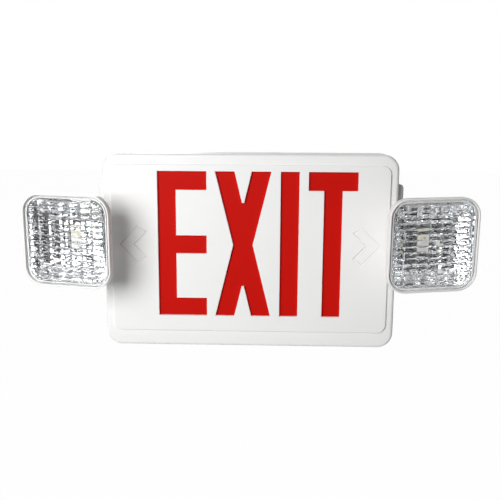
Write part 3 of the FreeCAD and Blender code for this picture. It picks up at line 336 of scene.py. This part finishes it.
def head_matrix(hand):
    """Places a lamp head's own frame: its origin on the knuckle's axis, -Y towards its lens."""
    heads = bpy.context.scene.exit_light_heads
    side = HANDS[hand]
    tilt = Matrix.Rotation(getattr(heads, f"{hand}_tilt"), 4, "X")
    pan = Matrix.Rotation(side * getattr(heads, f"{hand}_pan"), 4, "Z")
    return Matrix.Translation(JOINTS[f"{hand}_pan"]["pos_m"]) @ tilt @ pan


# ---------------------------------------------------------------- finishes


def moulded_plastic(name, base, roughness, ior=1.53, grain=0.9, relief=0.02, specular=0.5):
    """Injection-moulded plastic: faint flow marks in the colour and a spark-eroded grain in the gloss."""
    material, tree, place = new_material(name)
    # Flow marks are 60 mm long; the grain, in millimetres, is coarser than the real 0.1 mm so that it shows
    flow_mark = [0.965 * c for c in base[:3]] + [1.0]
    flow = add_node(tree, "ShaderNodeTexNoise", {"Vector": place, "Scale": 1 / (60 * MM), "Detail": 3.0})
    grains = add_node(tree, "ShaderNodeTexNoise", {"Vector": place, "Scale": 1 / (grain * MM), "Detail": 2.0})
    shade = add_node(
        tree,
        "ShaderNodeMix",
        {0: flow.outputs["Fac"], 6: flow_mark, 7: base},
        data_type="RGBA",
    )
    gloss = add_node(
        tree,
        "ShaderNodeMapRange",
        {"Value": grains.outputs["Fac"], "To Min": roughness - 0.05, "To Max": roughness + 0.05},
    )
    bump = add_node(
        tree, "ShaderNodeBump", {"Height": grains.outputs["Fac"], "Strength": 0.25, "Distance": relief * MM}
    )
    finish_material(
        tree,
        add_node(
            tree,
            "ShaderNodeBsdfPrincipled",
            {
                "Base Color": shade.outputs[2],
                "Roughness": gloss.outputs[0],
                "IOR": ior,
                "Specular IOR Level": specular,
                "Normal": bump.outputs[0],
            },
        ),
    )
    return material


def clear_polycarbonate():
    """Water-clear moulded polycarbonate: bright rims, sharp glints and a strong bending of what is behind."""
    material, tree, place = new_material("clear_polycarbonate")
    # Sink marks 5 mm apart, which make the glints waver
    ripple = add_node(tree, "ShaderNodeTexNoise", {"Vector": place, "Scale": 1 / (5 * MM), "Detail": 1.0})
    bump = add_node(tree, "ShaderNodeBump", {"Height": ripple.outputs["Fac"], "Strength": 0.1, "Distance": 0.05 * MM})
    finish_material(
        tree,
        add_node(
            tree,
            "ShaderNodeBsdfPrincipled",
            {
                "Base Color": linear("#FDFDFD"),
                "Roughness": 0.0,
                "IOR": 1.585,
                "Transmission Weight": 1.0,
                "Normal": bump.outputs[0],
            },
        ),
    )
    return material


def metallised_plastic(base, bare):
    """Vacuum-metallised ABS: a bright dimpled mirror, its gloss a little uneven, and bare white where masked."""
    material, tree, place = new_material("metallised_abs")
    plated = add_node(tree, "ShaderNodeAttribute", attribute_name="plated").outputs["Fac"]
    # Cloudy patches of plating, 7 mm across, and hammered dimples, 3 mm across
    flow = add_node(tree, "ShaderNodeTexNoise", {"Vector": place, "Scale": 1 / (7 * MM), "Detail": 2.0})
    dimples = add_node(tree, "ShaderNodeTexVoronoi", {"Vector": place, "Scale": 1 / (3 * MM)})
    shade = add_node(tree, "ShaderNodeMix", {0: plated, 6: bare, 7: base}, data_type="RGBA")
    gloss = add_node(tree, "ShaderNodeMapRange", {"Value": flow.outputs["Fac"], "To Min": 0.0, "To Max": 0.05})
    bump = add_node(
        tree, "ShaderNodeBump", {"Height": dimples.outputs["Distance"], "Strength": 0.3, "Distance": 0.5 * MM}
    )
    surface = {"Base Color": shade.outputs[2], "Metallic": plated, "Roughness": gloss.outputs[0]}
    surface["Normal"] = bump.outputs[0]
    finish_material(tree, add_node(tree, "ShaderNodeBsdfPrincipled", surface))
    return material


def plated_steel(name, base, roughness, brushing=0.0):
    """Zinc-plated steel: a grey metal with slightly cloudy gloss, and rolling marks where it is sheet."""
    material, tree, place = new_material(name)
    # Zinc spangle 1.5 mm across, coarser than the real 0.3 mm so that it shows
    stretched = add_node(tree, "ShaderNodeMapping", {"Vector": place, "Scale": (1.0, 1.0 + brushing, 1.0)})
    cloud = add_node(
        tree, "ShaderNodeTexNoise", {"Vector": stretched.outputs[0], "Scale": 1 / (1.5 * MM), "Detail": 4.0}
    )
    gloss = add_node(
        tree,
        "ShaderNodeMapRange",
        {"Value": cloud.outputs["Fac"], "To Min": roughness - 0.1, "To Max": roughness + 0.12},
    )
    bump = add_node(tree, "ShaderNodeBump", {"Height": cloud.outputs["Fac"], "Strength": 0.2, "Distance": 0.03 * MM})
    finish_material(
        tree,
        add_node(
            tree,
            "ShaderNodeBsdfPrincipled",
            {"Base Color": base, "Metallic": 1.0, "Roughness": gloss.outputs[0], "Normal": bump.outputs[0]},
        ),
    )
    return material


# ---------------------------------------------------------------- cover


def letters(low, high):
    """Outlines of the four capitals, anticlockwise, in millimetres across and up from the case's middle."""
    middle = (low + high) / 2
    letter_e = [(-95.3, low), (-44.6, low), (-44.6, -49.0), (-76.3, -49.0), (-76.3, -1.4), (-44.6, -1.4)]
    letter_e += [(-44.6, 17.7), (-76.3, 17.7), (-76.3, 65.0), (-44.6, 65.0), (-44.6, high), (-95.3, high)]
    letter_x = [(-35.7, low), (-15.7, low), (-7.95, -35.9), (-5.65, -35.9), (2.1, low), (22.1, low), (3.3, middle)]
    letter_x += [(22.1, high), (2.1, high), (-5.65, 52.1), (-7.95, 52.1), (-15.7, high), (-35.7, high)]
    letter_x += [(-16.9, middle)]
    letter_i = [(31.8, low), (50.9, low), (50.9, high), (31.8, high)]
    letter_t = [(76.3, low), (95.2, low), (95.2, 65.0), (110.9, 65.0), (110.9, high), (60.4, high), (60.4, 65.0)]
    letter_t += [(76.3, 65.0)]
    return [[MM * Vector(point) for point in outline] for outline in (letter_e, letter_x, letter_i, letter_t)]


def chevron(side):
    """Outline of an arrow knock-out that points outwards, anticlockwise."""
    points = [(135.3, 8.0), (117.0, 27.0), (107.5, 21.5), (120.5, 8.0), (107.5, -5.5), (117.0, -11.0)]
    if side < 0:
        points = [(-across, up) for across, up in reversed(points)]
    return [MM * Vector(point) for point in points]


def build_cover(cover):
    """A closed shell: front skin, letter openings with rounded edges, scored arrows and the inside."""
    mesh = bmesh.new()
    half = Vector((cover.panel_width / 2, cover.panel_height / 2))
    flange_front = PANEL_FRONT - cover.panel_rise
    panel_back = PANEL_FRONT - cover.wall
    quarter = [math.pi / 2 * step / 5 for step in range(6)]

    def case_ring(inset, forward):
        loop = rounded_loop(HALF_WIDTH - inset, HALF_HEIGHT - inset, CASE_CORNER - inset)
        return add_ring(mesh, loop, forward)

    def panel_ring(inset, forward):
        loop = rounded_loop(half.x - inset, half.y - inset, cover.panel_corner - inset, cover.panel_lift)
        return add_ring(mesh, loop, forward)

    # The skirt steps in by this much to go over the back housing's lip, and overlaps it by this much
    step, overlap = 1.15 * MM, 3.15 * MM
    chamfer = 0.3 * MM
    lip_front = PARTING + overlap
    rings = [
        panel_ring(cover.panel_round * (1 - math.sin(a)), PANEL_FRONT - cover.panel_round * (1 - math.cos(a)))
        for a in quarter
    ]
    rings.append(panel_ring(0, flange_front + cover.panel_round / 2))
    rings.append(panel_ring(-cover.panel_round / 2, flange_front))
    rings += [
        case_ring(cover.flange_round * (1 - math.sin(a)), flange_front - cover.flange_round * (1 - math.cos(a)))
        for a in quarter
    ]
    rings += [case_ring(0, PARTING + chamfer), case_ring(chamfer, PARTING)]
    rings += [case_ring(step, PARTING), case_ring(step, lip_front)]
    rings += [case_ring(cover.skirt, lip_front), case_ring(cover.skirt, flange_front - cover.wall)]
    rings += [panel_ring(cover.wall, flange_front - cover.wall), panel_ring(cover.wall, panel_back)]
    skin(mesh, rings)

    front_holes, back_holes = [], []
    for outline in letters(-cover.letter_low / MM, cover.letter_high / MM):
        edge = cover.letter_edge
        walls = [
            add_ring(mesh, offset_loop(outline, edge * (1 - math.sin(a))), PANEL_FRONT - edge * (1 - math.cos(a)))
            for a in quarter
        ]
        walls.append(add_ring(mesh, outline, panel_back))
        skin(mesh, walls)
        front_holes.append(walls[0])
        back_holes.append(walls[-1])
    for side in HANDS.values():
        outline = chevron(side)
        grooves = [
            add_ring(mesh, offset_loop(outline, cover.score_width / 2), PANEL_FRONT),
            add_ring(mesh, outline, PANEL_FRONT - cover.score_depth),
            add_ring(mesh, offset_loop(outline, -cover.score_width / 2), PANEL_FRONT),
        ]
        skin(mesh, grooves)
        front_holes.append(grooves[0])
        fill(mesh, [grooves[-1]])
    fill(mesh, [rings[0]] + front_holes)
    fill(mesh, [rings[-1]] + back_holes)
    return mesh


class EXITLIGHT_OT_cover(bpy.types.Operator):
    """Build the cover with its raised panel, the legend's openings and the scored arrows"""

    bl_idname = "exit_light.cover"
    bl_label = "Cover"

    def execute(self, context):
        cover = context.scene.exit_light_cover
        # White moulded ABS: an even satin white with soft broad highlights
        plastic = moulded_plastic("moulded_abs_white", cover.plastic, 0.38)
        settle(new_object("legend_cover", build_cover(cover), plastic), "case", ["face_plate"])
        wear(["back_housing"], plastic)
        # Red acrylic sheet behind the openings: satin, deep in colour
        wear(["red_diffuser"], moulded_plastic("red_acrylic", cover.diffuser, 0.5, ior=1.49, specular=0.06))
        return {"FINISHED"}


# ---------------------------------------------------------------- lamp heads


def rib_nodes():
    """Geometry nodes that raise upright ribs on a lens's front and level ribs on its back."""
    tree = bpy.data.node_groups.new("Crossed ribs", "GeometryNodeTree")
    tree.interface.new_socket("Geometry", in_out="INPUT", socket_type="NodeSocketGeometry")
    for name in ("Column pitch", "Column rise", "Row pitch", "Row rise", "Crest"):
        tree.interface.new_socket(name, in_out="INPUT", socket_type="NodeSocketFloat")
    tree.interface.new_socket("Material", in_out="INPUT", socket_type="NodeSocketMaterial")
    tree.interface.new_socket("Geometry", in_out="OUTPUT", socket_type="NodeSocketGeometry")
    start = add_node(tree, "NodeGroupInput").outputs
    place = add_node(tree, "GeometryNodeInputPosition")
    apart = add_node(tree, "ShaderNodeSeparateXYZ", {0: place.outputs[0]}).outputs
    columns = rib_height(tree, apart["X"], start["Column pitch"], start["Column rise"], start["Crest"], "front", 0.5)
    rows = rib_height(tree, apart["Z"], start["Row pitch"], start["Row rise"], start["Crest"], "back", 0.0)
    forward = add_node(tree, "ShaderNodeMath", {0: rows, 1: columns}, operation="SUBTRACT")
    shift = add_node(tree, "ShaderNodeCombineXYZ", {"Y": forward.outputs[0]})
    raised = add_node(tree, "GeometryNodeSetPosition", {"Geometry": start["Geometry"], "Offset": shift.outputs[0]})
    whole = add_node(tree, "GeometryNodeRealizeInstances", {"Geometry": raised.outputs[0]})
    dressed = add_node(tree, "GeometryNodeSetMaterial", {"Geometry": whole.outputs[0], "Material": start["Material"]})
    add_node(tree, "NodeGroupOutput", {"Geometry": dressed.outputs[0]})
    return tree


def rib_height(tree, across, pitch, rise, crest, face, phase):
    """The height of a row of ribs at a place: one arch to each pitch up to the crest, and nothing off their face."""
    pitches = add_node(tree, "ShaderNodeMath", {0: across, 1: pitch}, operation="DIVIDE")
    shifted = add_node(tree, "ShaderNodeMath", {0: pitches.outputs[0], 1: phase}, operation="ADD")
    part = add_node(tree, "ShaderNodeMath", {0: shifted.outputs[0]}, operation="FRACT")
    rest = add_node(tree, "ShaderNodeMath", {0: 1.0, 1: part.outputs[0]}, operation="SUBTRACT")
    quarter_arch = add_node(tree, "ShaderNodeMath", {0: part.outputs[0], 1: rest.outputs[0]}, operation="MULTIPLY")
    arch = add_node(tree, "ShaderNodeMath", {0: quarter_arch.outputs[0], 1: 4.0, 2: -1.0}, operation="MULTIPLY_ADD")
    height = add_node(tree, "ShaderNodeMath", {0: arch.outputs[0], 1: rise, 2: crest}, operation="MULTIPLY_ADD")
    on_face = add_node(tree, "GeometryNodeInputNamedAttribute", {"Name": face}, data_type="FLOAT")
    kept = add_node(tree, "ShaderNodeMath", {0: height.outputs[0], 1: on_face.outputs[0]}, operation="MULTIPLY")
    return kept.outputs[0]


def set_inputs(modifier, values):
    """Sets a geometry nodes modifier's inputs by their names."""
    for item in modifier.node_group.interface.items_tree:
        if item.name in values and item.in_out == "INPUT":
            modifier[item.identifier] = values[item.name]


def ribbed_face(mesh, border, field_half, field_corner, pitch, forward, layer, upright):
    """One face of the lens: a plain border and a field divided finely enough for its ribs."""
    field = rounded_loop(field_half, field_half, field_corner, steps=12)
    # Ten divisions to a rib are enough for its arch; along the ribs the face is straight
    fine, coarse = pitch / 10, 3.0 * MM
    edge_gap, blend = 0.25 * MM, 0.6 * MM
    step = Vector((fine, coarse)) if upright else Vector((coarse, fine))
    inside = []
    reach = [int(field_half / s) for s in step]
    for column in range(-reach[0], reach[0] + 1):
        for row in range(-reach[1], reach[1] + 1):
            point = Vector((column * step.x, row * step.y))
            if field_depth(point, field_half, field_corner) > edge_gap:
                inside.append(point)
    count = len(border)
    loops = [Vector((v.co.x, v.co.z)) for v in border] + field
    edges = [(i, (i + 1) % count) for i in range(count)]
    edges += [(count + i, count + (i + 1) % len(field)) for i in range(len(field))]
    points, _, faces, _, _, _ = delaunay_2d_cdt(loops + inside, edges, [], 1, 1e-8)
    corners = [
        border[index] if index < count else mesh.verts.new((point.x, -forward, point.y))
        for index, point in enumerate(points)
    ]
    for corner, point in zip(corners, points):
        depth = field_depth(point, field_half, field_corner)
        corner[layer] = max(0.0, min(1.0, depth / blend))
    for face in faces:
        mesh.faces.new([corners[index] for index in face])


def field_depth(point, half, corner):
    """How far inside a rounded square a point is."""
    past = Vector((abs(point.x) - (half - corner), abs(point.y) - (half - corner)))
    outside = Vector((max(past.x, 0.0), max(past.y, 0.0))).length
    return corner - outside - min(max(past.x, past.y), 0.0)


def build_lens(heads):
    """The clear plate before its ribs are raised: two faces and a rounded rim."""
    mesh = bmesh.new()
    front = mesh.verts.layers.float.new("front")
    back = mesh.verts.layers.float.new("back")
    half = HEAD_SIZE / 2 - heads.lip - heads.lens_gap
    corner = HEAD_CORNER - heads.lip - heads.lens_gap
    lens_front = LENS_BACK + heads.lens_thickness
    edge = 0.4 * MM

    def rim(inset, forward):
        return add_ring(mesh, rounded_loop(half - inset, half - inset, corner - inset, steps=12), forward)

    rings = [rim(edge, lens_front), rim(0.3 * edge, lens_front - 0.3 * edge), rim(0, lens_front - edge)]
    rings += [rim(0, LENS_BACK + edge), rim(edge, LENS_BACK)]
    skin(mesh, rings)
    outer_half, inner_half = heads.field_size / 2, heads.inner_field_size / 2
    outer_corner = corner - heads.field_margin
    inner_corner = outer_corner - (outer_half - inner_half)
    column, row = heads.field_size / heads.columns, heads.inner_field_size / heads.rows
    ribbed_face(mesh, rings[0], outer_half, outer_corner, column, lens_front, front, True)
    ribbed_face(mesh, rings[-1], inner_half, inner_corner, row, LENS_BACK, back, False)
    return mesh


def divided_loop(half, radius, parts, steps):
    """A rounded square whose straight sides are divided into a number of parts."""
    corners = rounded_loop(half, half, radius, steps=steps)
    loop = []
    for index, point in enumerate(corners):
        following = corners[(index + 1) % len(corners)]
        count = parts if index % (steps + 1) == steps else 1
        loop += [point.lerp(following, part / count) for part in range(count)]
    return loop


def build_reflector(heads):
    """A facetted square dish with a flat flange, a lamp hole in its floor and an even wall."""
    mesh = bmesh.new()
    plated = mesh.verts.layers.float.new("plated")
    half, corner, wall = heads.bowl_mouth / 2, heads.bowl_corner, heads.bowl_wall
    floor = REFLECTOR_BACK + wall
    lens_clearance, smallest_corner = 0.15 * MM, 1.5 * MM
    top = LENS_BACK - lens_clearance
    facets_across, facets_round_corner, facets_deep = 9, 4, 7
    levels = [step / facets_deep for step in range(facets_deep + 1)]

    def ring(inset, forward, outward=0.0):
        """A level of the dish; its corners tighten as it narrows."""
        radius = max(corner - inset * 0.72, smallest_corner)
        loop = divided_loop(half - inset, radius, facets_across, facets_round_corner)
        return add_ring(mesh, offset_loop(loop, outward), forward)

    def slope(level):
        """The inset of the dish's wall at a level between its mouth, 0, and its floor, 1."""
        return heads.bowl_slope * level**1.6

    inner = [ring(slope(level), top + (floor - top) * level) for level in levels]
    outer = [ring(slope(level), LEDGE + (REFLECTOR_BACK - LEDGE) * level, wall) for level in reversed(levels)]
    lip = HEAD_SIZE / 2 - heads.lip - heads.lens_gap / 2 - half
    flange = [ring(0.0, LEDGE, lip), ring(0.0, top, lip), ring(0.0, top, 0.2 * MM)]
    skin(mesh, outer + flange + inner)
    for vertex in mesh.verts:
        vertex[plated] = 1.0
    for vertex in flange[1] + flange[2]:
        vertex[plated] = 0.0
    hole = [Vector((math.cos(a), math.sin(a))) * heads.lamp_hole for a in (math.tau * i / 32 for i in range(32))]
    rims = [add_ring(mesh, hole, floor), add_ring(mesh, hole, REFLECTOR_BACK)]
    skin(mesh, rims)
    for vertex in rims[0]:
        vertex[plated] = 1.0
    fill(mesh, [inner[-1], rims[0]])
    fill(mesh, [outer[0], rims[1]])
    return mesh


class EXITLIGHT_OT_lenses(bpy.types.Operator):
    """Build the clear lenses with their crossed ribs"""

    bl_idname = "exit_light.lenses"
    bl_label = "Lenses"

    def execute(self, context):
        heads = context.scene.exit_light_heads
        clear = clear_polycarbonate()
        ribs = rib_nodes()
        for hand in HANDS:
            lens = new_object(f"{hand}_ribbed_lens", build_lens(heads))
            modifier = lens.modifiers.new("Crossed ribs", "NODES")
            modifier.node_group = ribs
            pitches = {
                "Column pitch": heads.field_size / heads.columns,
                "Column rise": heads.column_rise,
                "Row pitch": heads.inner_field_size / heads.rows,
                "Row rise": heads.row_rise,
                "Crest": heads.crest,
                "Material": clear,
            }
            set_inputs(modifier, pitches)
            evaluate(lens).data.transform(head_matrix(hand))
            settle(lens, f"{hand}_head", [f"{hand}_lens"], angle=20.0)
        return {"FINISHED"}


class EXITLIGHT_OT_heads(bpy.types.Operator):
    """Finish the lamp heads' shells, arms, reflectors and lamps"""

    bl_idname = "exit_light.heads"
    bl_label = "Lamp heads"

    def execute(self, context):
        heads = context.scene.exit_light_heads
        plastic = bpy.data.materials["moulded_abs_white"]
        mirror = metallised_plastic(heads.mirror, linear("#FBFBFA"))
        # Barrel-plated fasteners: cool grey, half bright
        zinc = plated_steel("zinc_plated_steel", linear("#B4B6BA"), 0.32)
        # Moulded nitrile rubber: dull and nearly black
        rubber = moulded_plastic("nitrile_rubber", linear("#1B1B1C"), 0.8)
        # Screen-printed white solder mask: an even white with a low sheen
        white_board = moulded_plastic("white_solder_mask", linear("#ECEDEA"), 0.45)
        # Cast silicone with phosphor: pale yellow and smooth, unlit
        phosphor = moulded_plastic("led_phosphor", linear("#F1EACB"), 0.25)
        for hand in HANDS:
            wear([f"{hand}_head_shell", f"{hand}_swivel_arm"], plastic)
            dish = new_object(f"{hand}_facetted_reflector", build_reflector(heads), mirror)
            dish.data.transform(head_matrix(hand))
            settle(dish, f"{hand}_head", [f"{hand}_reflector"], angle=4.0)
            wear([f"{hand}_hinge_screw", f"{hand}_hinge_nut", f"{hand}_retaining_ring"], zinc)
            wear([f"{hand}_friction_washer"], rubber)
            wear([f"{hand}_lamp_board"], white_board)
            wear([f"{hand}_lamp_leds"], phosphor)
        wear(["upper_strip", "lower_strip"], white_board)
        wear(["upper_strip_leds", "lower_strip_leds"], phosphor)
        return {"FINISHED"}


# ---------------------------------------------------------------- inside the case


class EXITLIGHT_OT_inside(bpy.types.Operator):
    """Finish the boards, the transformer, the battery and the test controls"""

    bl_idname = "exit_light.inside"
    bl_label = "Inside"

    def execute(self, context):
        zinc = bpy.data.materials["zinc_plated_steel"]
        wear(["board_screws", "transformer_screws", "strap_screws"], zinc)
        # Rolled strip: grey with faint lines along its length
        wear(["battery_strap"], plated_steel("galvanised_strip", linear("#A9ABAE"), 0.38, brushing=8.0))
        # Stacked laminations: dark grey, dull, finely lined
        wear(["transformer"], plated_steel("laminated_core_steel", linear("#6E7074"), 0.5, brushing=30.0))
        # Screen-printed green solder mask: deep green with a sheen
        wear(["circuit_board", "test_board"], moulded_plastic("green_solder_mask", linear("#1F6B3C"), 0.35))
        # Moulded polypropylene: a waxy blue
        wear(["relay"], moulded_plastic("relay_polypropylene", linear("#2B4C7E"), 0.4))
        # Shrunk PVC sleeve: smooth and nearly black
        wear(["capacitors"], moulded_plastic("capacitor_pvc_sleeve", linear("#1D2025"), 0.35))
        # Moulded polyamide: a flat green
        wear(["terminal_block"], moulded_plastic("terminal_polyamide", linear("#2F7A45"), 0.5))
        # Shrunk PVC film: glossy blue
        wear(["battery_pack"], moulded_plastic("battery_pvc_wrap", linear("#2A4E9E"), 0.3))
        # Pressed phenolic: flat black
        wear(["test_switch"], moulded_plastic("switch_phenolic", linear("#1A1A1B"), 0.55))
        # Moulded red ABS: bright and fairly glossy
        wear(["test_button"], moulded_plastic("button_abs_red", linear("#B01E1A"), 0.3))
        # Cast epoxy, unlit: glossy green
        wear(["charge_light"], moulded_plastic("indicator_epoxy_green", linear("#3FA34A"), 0.15))
        return {"FINISHED"}


# ---------------------------------------------------------------- studio


class EXITLIGHT_OT_stage(bpy.types.Operator):
    """Set up the camera, the lights and the pale floor"""

    bl_idname = "exit_light.stage"
    bl_label = "Studio"

    def execute(self, context):
        stage = context.scene.exit_light_stage
        scene = context.scene
        scene.view_settings.view_transform = "Standard"
        self.add_camera(scene, stage)
        self.add_world(scene, stage)
        self.add_floor(scene, stage)
        self.add_lamp(scene, stage, "key", stage.key_place, stage.key_power)
        self.add_lamp(scene, stage, "back", stage.back_place, stage.back_power)
        return {"FINISHED"}

    def add_camera(self, scene, stage):
        """A 50 mm camera, turned by its pitch, yaw and roll."""
        data = bpy.data.cameras.new("camera")
        data.lens = 50.0
        camera = bpy.data.objects.new("camera", data)
        pitch, yaw, roll = stage.camera_pitch, stage.camera_yaw, stage.camera_roll
        ahead = Vector((-math.sin(yaw) * math.cos(pitch), math.cos(yaw) * math.cos(pitch), -math.sin(pitch)))
        level = ahead.cross(Vector((0, 0, 1))).normalized()
        upright = level.cross(ahead)
        right = level * math.cos(roll) + upright * math.sin(roll)
        up = upright * math.cos(roll) - level * math.sin(roll)
        turn = Matrix((right, up, -ahead)).transposed().to_4x4()
        camera.matrix_world = Matrix.Translation(stage.camera_place) @ turn
        scene.collection.objects.link(camera)
        scene.camera = camera

    def add_world(self, scene, stage):
        """Faint light from all round; plain white to the eye, and in reflections but for two unlit parts."""
        world = bpy.data.worlds.new("studio")
        world.use_nodes = True
        tree = world.node_tree
        tree.nodes.clear()
        lit = add_node(tree, "ShaderNodeMix", {0: seen_directly(tree), 2: stage.fill, 3: 1.0})
        path = add_node(tree, "ShaderNodeLightPath").outputs
        dark = add_node(
            tree,
            "ShaderNodeMath",
            {
                0: self.unlit_end(tree, stage.dark_side, stage.dark_drop, stage.dark_reach),
                1: self.unlit_end(tree, stage.dark_corner, stage.dark_drop, stage.corner_reach),
            },
            operation="MAXIMUM",
        )
        sharp = add_node(tree, "ShaderNodeMath", {0: path["Diffuse Depth"], 1: 0.5}, operation="LESS_THAN")
        dimming = add_node(tree, "ShaderNodeMath", {0: dark.outputs[0], 1: sharp.outputs[0]}, operation="MULTIPLY")
        dimmed = add_node(tree, "ShaderNodeMix", {0: dimming.outputs[0], 2: lit.outputs[0], 3: stage.dark_level})
        strength = add_node(tree, "ShaderNodeMix", {0: path["Is Camera Ray"], 2: dimmed.outputs[0], 3: 1.0})
        light = add_node(tree, "ShaderNodeBackground", {"Color": (1, 1, 1, 1), "Strength": strength.outputs[0]})
        add_node(tree, "ShaderNodeOutputWorld", {"Surface": light.outputs[0]})
        scene.world = world

    def unlit_end(self, tree, side, drop, reach):
        """How far each direction lies inside an unlit part of the studio, which bright metal mirrors."""
        soft_edge = 0.08
        middle = (math.sin(side) * math.cos(drop), -math.cos(side) * math.cos(drop), -math.sin(drop))
        way = add_node(tree, "ShaderNodeTexCoord").outputs["Generated"]
        towards = add_node(tree, "ShaderNodeVectorMath", {0: way, 1: middle}, operation="DOT_PRODUCT")
        edges = {"From Min": math.cos(reach + soft_edge), "From Max": math.cos(reach - soft_edge)}
        return add_node(tree, "ShaderNodeMapRange", {"Value": towards.outputs["Value"], **edges}).outputs[0]

    def add_floor(self, scene, stage):
        """A pale floor well below the light, white to the eye except where a shadow falls."""
        material, tree, place = new_material("studio_paper")
        fibres = add_node(tree, "ShaderNodeTexNoise", {"Vector": place, "Scale": 1 / (8 * MM)})
        tone = add_node(
            tree,
            "ShaderNodeMix",
            {0: fibres.outputs["Fac"], 6: linear("#F6F6F5"), 7: linear("#FCFCFB")},
            data_type="RGBA",
        )
        paper = add_node(tree, "ShaderNodeBsdfDiffuse", {"Color": tone.outputs[2]})
        white = add_node(tree, "ShaderNodeEmission", {"Color": (1, 1, 1, 1), "Strength": 1.0})
        seen = add_node(tree, "ShaderNodeMath", {0: seen_directly(tree), 1: stage.floor_white}, operation="MULTIPLY")
        mixed = add_node(tree, "ShaderNodeMixShader", {0: seen.outputs[0], 1: paper.outputs[0], 2: white.outputs[0]})
        finish_material(tree, mixed)
        # Eight metres square, and mostly behind, where the camera looks
        mesh = bmesh.new()
        bmesh.ops.create_grid(mesh, x_segments=2, y_segments=2, size=4.0)
        bmesh.ops.translate(mesh, verts=mesh.verts, vec=(0.0, 3.4, 0.0))
        data = bpy.data.meshes.new("floor")
        mesh.to_mesh(data)
        mesh.free()
        data.materials.append(material)
        floor = bpy.data.objects.new("floor", data)
        floor.location.z = CAD_BOX[0][2] - stage.floor_drop
        scene.collection.objects.link(floor)

    def add_lamp(self, scene, stage, name, place, watts):
        """A large soft lamp that faces the middle of the exit light."""
        data = bpy.data.lights.new(name, "AREA")
        data.shape = "SQUARE"
        data.size = stage.key_size
        data.energy = watts
        data.spread = stage.lamp_spread
        lamp = bpy.data.objects.new(name, data)
        lamp.location = place
        lamp.rotation_euler = (-Vector(place)).to_track_quat("-Z", "Y").to_euler()
        scene.collection.objects.link(lamp)


# ---------------------------------------------------------------- add-on


class EXITLIGHT_PT_panel(bpy.types.Panel):
    """Lists the pieces of the exit light and their settings"""

    bl_idname = "EXITLIGHT_PT_panel"
    bl_label = "Exit light"
    bl_space_type = "VIEW_3D"
    bl_region_type = "UI"
    bl_category = "Exit light"

    def draw(self, context):
        for operator in OPERATORS:
            self.layout.operator(operator.bl_idname)
        for attribute in SETTINGS:
            box = self.layout.box()
            group = getattr(context.scene, attribute)
            for name in group.bl_rna.properties.keys():
                if name not in ("name", "rna_type"):
                    box.prop(group, name)


SETTINGS = {
    "exit_light_cover": CoverSettings,
    "exit_light_heads": HeadSettings,
    "exit_light_stage": StageSettings,
}
OPERATORS = (
    EXITLIGHT_OT_stage,
    EXITLIGHT_OT_cover,
    EXITLIGHT_OT_lenses,
    EXITLIGHT_OT_heads,
    EXITLIGHT_OT_inside,
)


def register():
    for group in SETTINGS.values():
        bpy.utils.register_class(group)
    for attribute, group in SETTINGS.items():
        setattr(bpy.types.Scene, attribute, bpy.props.PointerProperty(type=group))
    for operator in OPERATORS:
        bpy.utils.register_class(operator)
    bpy.utils.register_class(EXITLIGHT_PT_panel)


def unregister():
    bpy.utils.unregister_class(EXITLIGHT_PT_panel)
    for operator in reversed(OPERATORS):
        bpy.utils.unregister_class(operator)
    for attribute, group in SETTINGS.items():
        delattr(bpy.types.Scene, attribute)
        bpy.utils.unregister_class(group)


def main():
    register()
    for operator in OPERATORS:
        name = operator.bl_idname.split(".")[1]
        getattr(bpy.ops.exit_light, name)()


if __name__ == "__main__":
    main()
